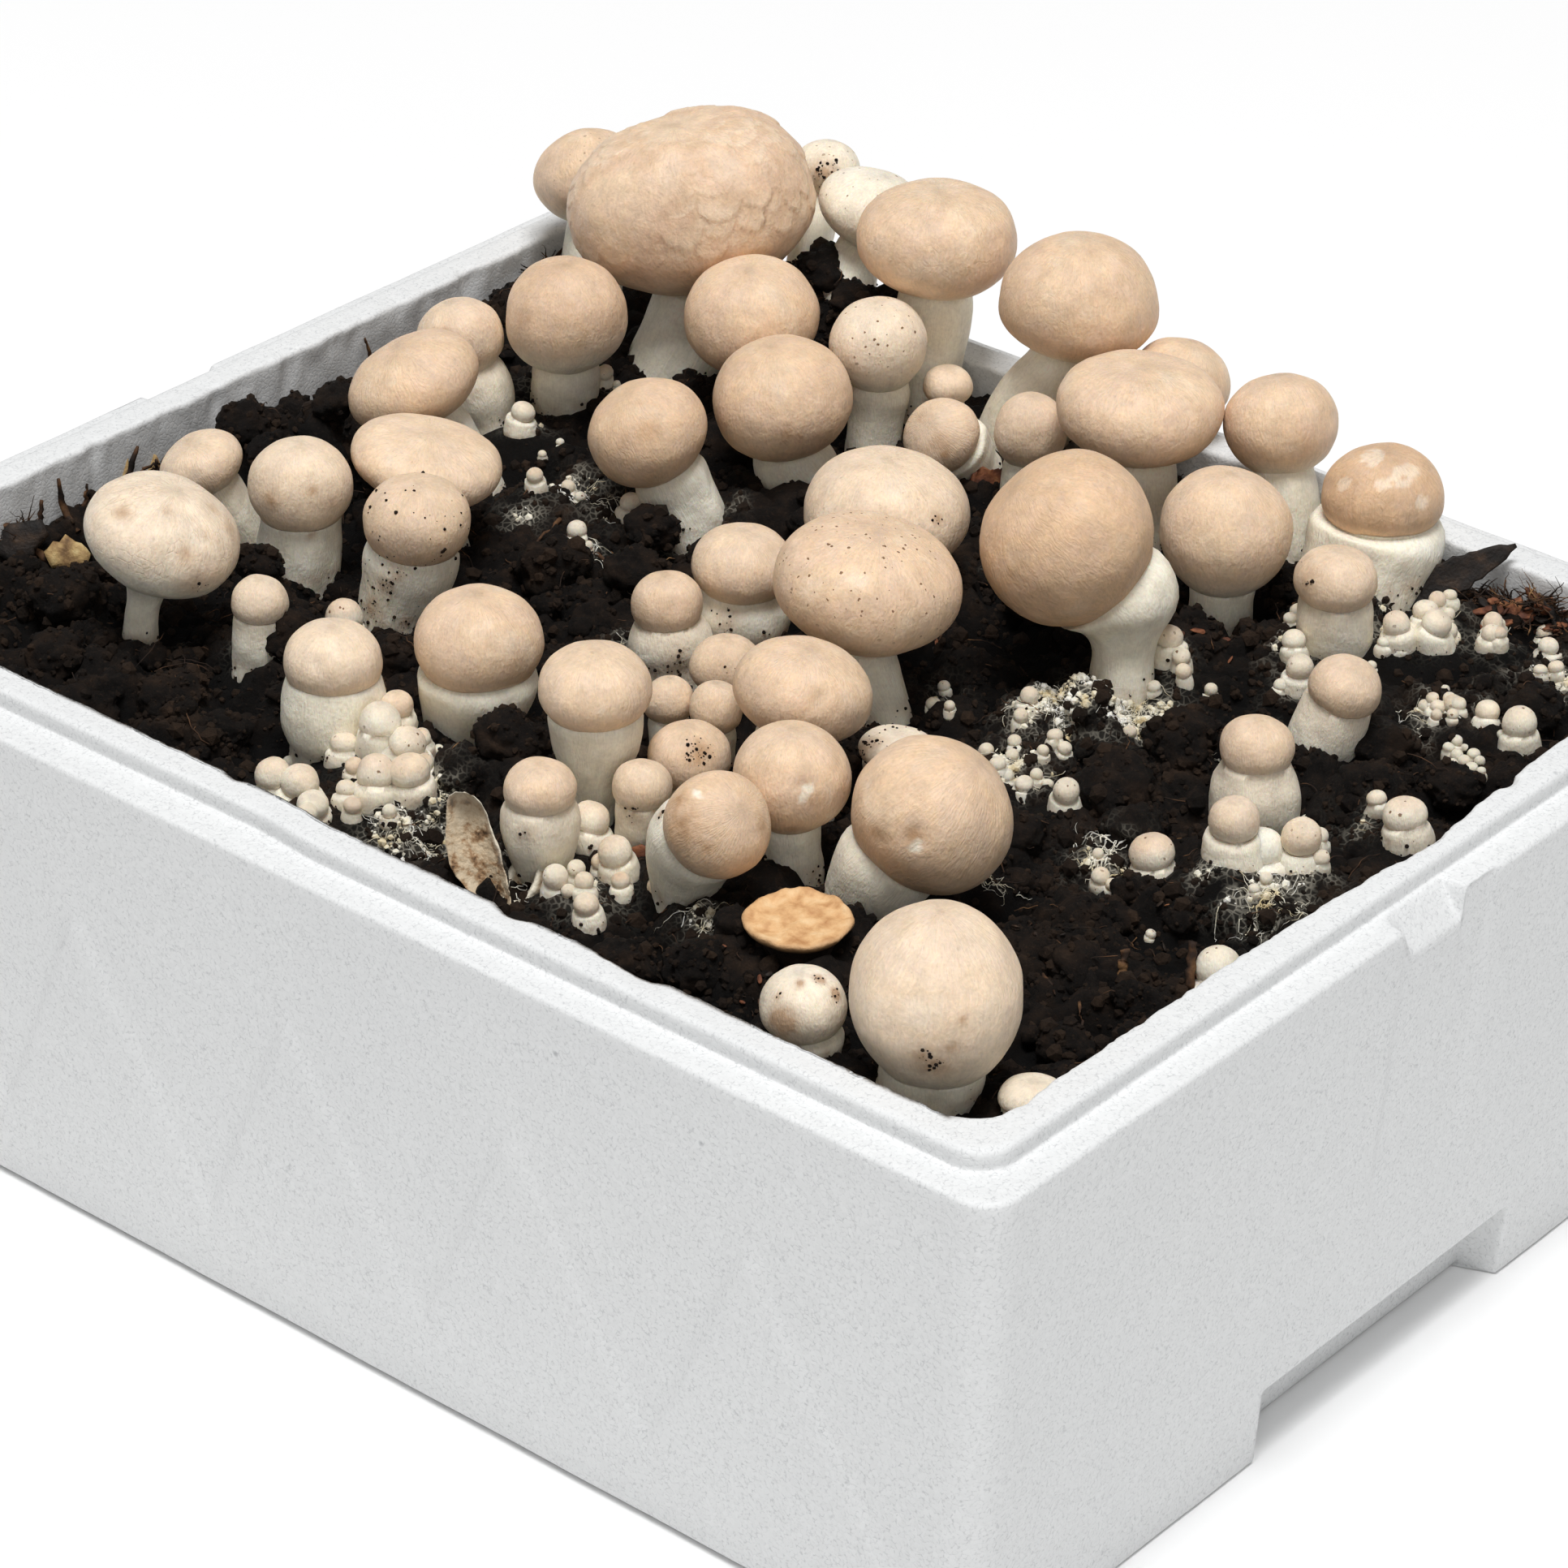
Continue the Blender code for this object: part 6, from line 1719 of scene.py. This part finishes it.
# The flake's edges in pixels of the photograph: row, left, right
oldStem = {
    "foot": (610, 1108),
    "edges": [
        (1122, 600, 630), (1108, 588, 630), (1095, 574, 627), (1080, 562, 625), (1065, 554, 620), (1048, 550, 617),
        (1032, 549, 610), (1018, 550, 605), (1003, 550, 601), (990, 551, 594), (981, 554, 585), (976, 562, 573),
    ],
    "thick": 0.8,
    "hollow": 2.6,  # how far its middle lies back
    "across": 26,
    "between": 4,
}


def makeCutStub(material):
    sides, radius = cutStub["sides"], cutStub["radius"]
    angles = np.arange(sides) * 2 * math.pi / sides
    circle = np.column_stack([np.cos(angles), np.sin(angles), 0 * angles])
    # One end is drawn out to a blunt point
    outline = 1 + 0.09 * np.clip(np.cos(angles - math.radians(219)), 0, 1) ** 8
    outline += 0.04 * np.cos(2 * angles + 0.7)
    outline += 0.05 * waves(circle, 0.5, 3.0)
    foot = cutStub["foot"]
    rows = [(foot, -13.0, 1.0), (foot + 0.6, -7.0, 1.0), (foot + 1.3, -4.0, 1.0), (radius - 0.7, -2.2, 1.0),
            (radius, -1.0, 1.0), (radius + 0.1, -0.2, 0.9), (radius - 0.5, 0.25, 0.5)]
    rows += [(radius * share, 0.1, 0.0) for share in (0.9, 0.8, 0.68, 0.56, 0.44, 0.32, 0.2, 0.1)]
    points, rim = [], []
    for wide, z, edge in rows:
        points.append(circle * (wide * outline)[:, None] + (0, 0, z))
        rim += [edge] * sides
    points = np.concatenate(points + [np.array([(0, 0, 0.0), (0, 0, -13.0)])])
    rim += [0.0, 1.0]
    top = smoothStep(points[:, 2], -0.5, 0.1)
    # Below the face the side turns near black: partly soil, partly painted shade under the face's overhang
    buried = 1 - smoothStep(points[:, 2], -2.4, -1.0)
    hollow = np.hypot(points[:, 0], points[:, 1]) < radius * 0.85
    points[:, 2] += top * (0.75 * waves(points, 3.4, 2.0) + 0.4 * waves(points, 1.7, 8.0) - 0.5 * hollow)
    points[:, :2] += ((1 - top) * 0.3 * waves(points, 3.0, 6.0))[:, None]
    turn = up.rotation_difference(Vector(cutStub["tilt"]).normalized())
    points = np.array([turn @ Vector(p) for p in points]) + np.array(cutStub["middle"])
    faces, layers = ringFaces(len(rows), sides, True), {"rim": rim, "buried": buried}
    makePiece("cutStub", points, faces, material, ["cut_stub"], layers)


def makeOldStem(material):
    # A split slab of stem that curls at its torn top, and half a shrunken cap beside it
    across, upright, back = viewAxes()
    foot = standAt(*oldStem["foot"], 0.5)
    edges, between, count = oldStem["edges"], oldStem["between"], oldStem["across"]
    points, rim = [], []
    ringCount = between * (len(edges) - 1) + 1
    for ring in range(ringCount):
        low = min(ring // between, len(edges) - 2)
        share = ring / between - low
        v, left, right = [a + (b - a) * share for a, b in zip(edges[low], edges[low + 1])]
        rise = ring / (ringCount - 1)
        for face in (1, -1):
            for k in range(count):
                s = k / (count - 1) if face > 0 else 1 - k / (count - 1)
                side = 2 * s - 1
                point = besides(foot, left + (right - left) * s - oldStem["foot"][0], v - oldStem["foot"][1])
                deep = -oldStem["hollow"] * (1 - side * side) + 3.0 * rise ** 5 + 1.5 * max(side, 0) ** 4
                thin = oldStem["thick"] * (1 - 0.75 * side ** 6)
                points.append(point + back * (deep + face * thin))
                rim.append(min(1.0, max(rise ** 9 * 1.2, max(side, 0) ** 10 * smoothStep(rise, 0.2, 0.5))))
    points += [points[-count].lerp(points[-count - 1], 0.5), foot]
    rim += [1.0, 0.0]
    points = np.array(points)
    faces = ringFaces(ringCount, 2 * count, True)
    lumps = 0.35 * waves(points, 5.0, 2.0) + 0.2 * waves(points, 1.8, 4.0)
    points += pointNormals(points, faces) * lumps[:, None]
    parts = [(points, faces, {"rim": np.array(rim)})]
    # Half of a small shrunken cap: a shell with its hollow side to the viewer's left
    middle = standAt(645, 1084, 2.5)
    facing = (back * 0.6 - across * 0.55 + upright * 0.25).normalized()
    turn = up.rotation_difference(facing)
    rows = [(math.sin(t), -math.cos(t)) for t in np.linspace(0.12, 1.75, 12)]
    rows += [(0.78 * math.sin(t), -0.72 * math.cos(t) - 0.02) for t in np.linspace(1.75, 0.12, 12)]
    shell, edge = [], []
    for index, (wide, z) in enumerate(rows):
        for k in range(40):
            angle = 2 * math.pi * k / 40
            shell.append((wide * math.cos(angle), wide * 1.25 * math.sin(angle), z))
            edge.append(1.0 if abs(index - 11.5) < 2.5 else 0.25 if index < 12 else 0.0)
    shell += [(0, 0, -0.72), (0, 0, -1.0)]
    edge += [0.0, 0.2]
    shell = np.array(shell) * 5.2
    shellFaces = ringFaces(len(rows), 40, True)
    shell *= (1 + 0.13 * waves(shell, 5.0, 7.0))[:, None]
    shell = np.array([turn @ Vector(p) for p in shell]) + np.array(middle)
    parts.append((shell, shellFaces, {"rim": np.array(edge)}))
    makeJoined("oldStem", parts, material, ["old_stem"])


# Cut mushroom flesh gone tan in the air: rough fibrous face, browner skin round its side, and a near black band
# below it, partly soil and partly painted shade under the overhanging face
cutFlesh = driedMaterial(
    "driedCutFlesh", (4, 5.0), ((0.3, "B98656"), (0.5, "DDB17E"), (0.7, "EBC99B")), (1.2, 5.0), (0.8, 0.5),
    (("rim", "C99F72"), ("buried", "2B2018")), Roughness=0.7)
makeCutStub(cutFlesh)
# Old stem, dried and rotting: tan-brown with dark crumbly flecks, its torn rim still white
rottenStem = driedMaterial(
    "driedOldStem", (4, 5.0, 0.6), ((0.33, "4A3422"), (0.41, "9C7A57"), (0.5, "C9B496"), (0.68, "DACAB0")),
    (1.2, 5.0), (0.9, 0.6), (("rim", "EDE4D0"),), Roughness=0.75)
makeOldStem(rottenStem)
report("cut stub and old stem are in place")
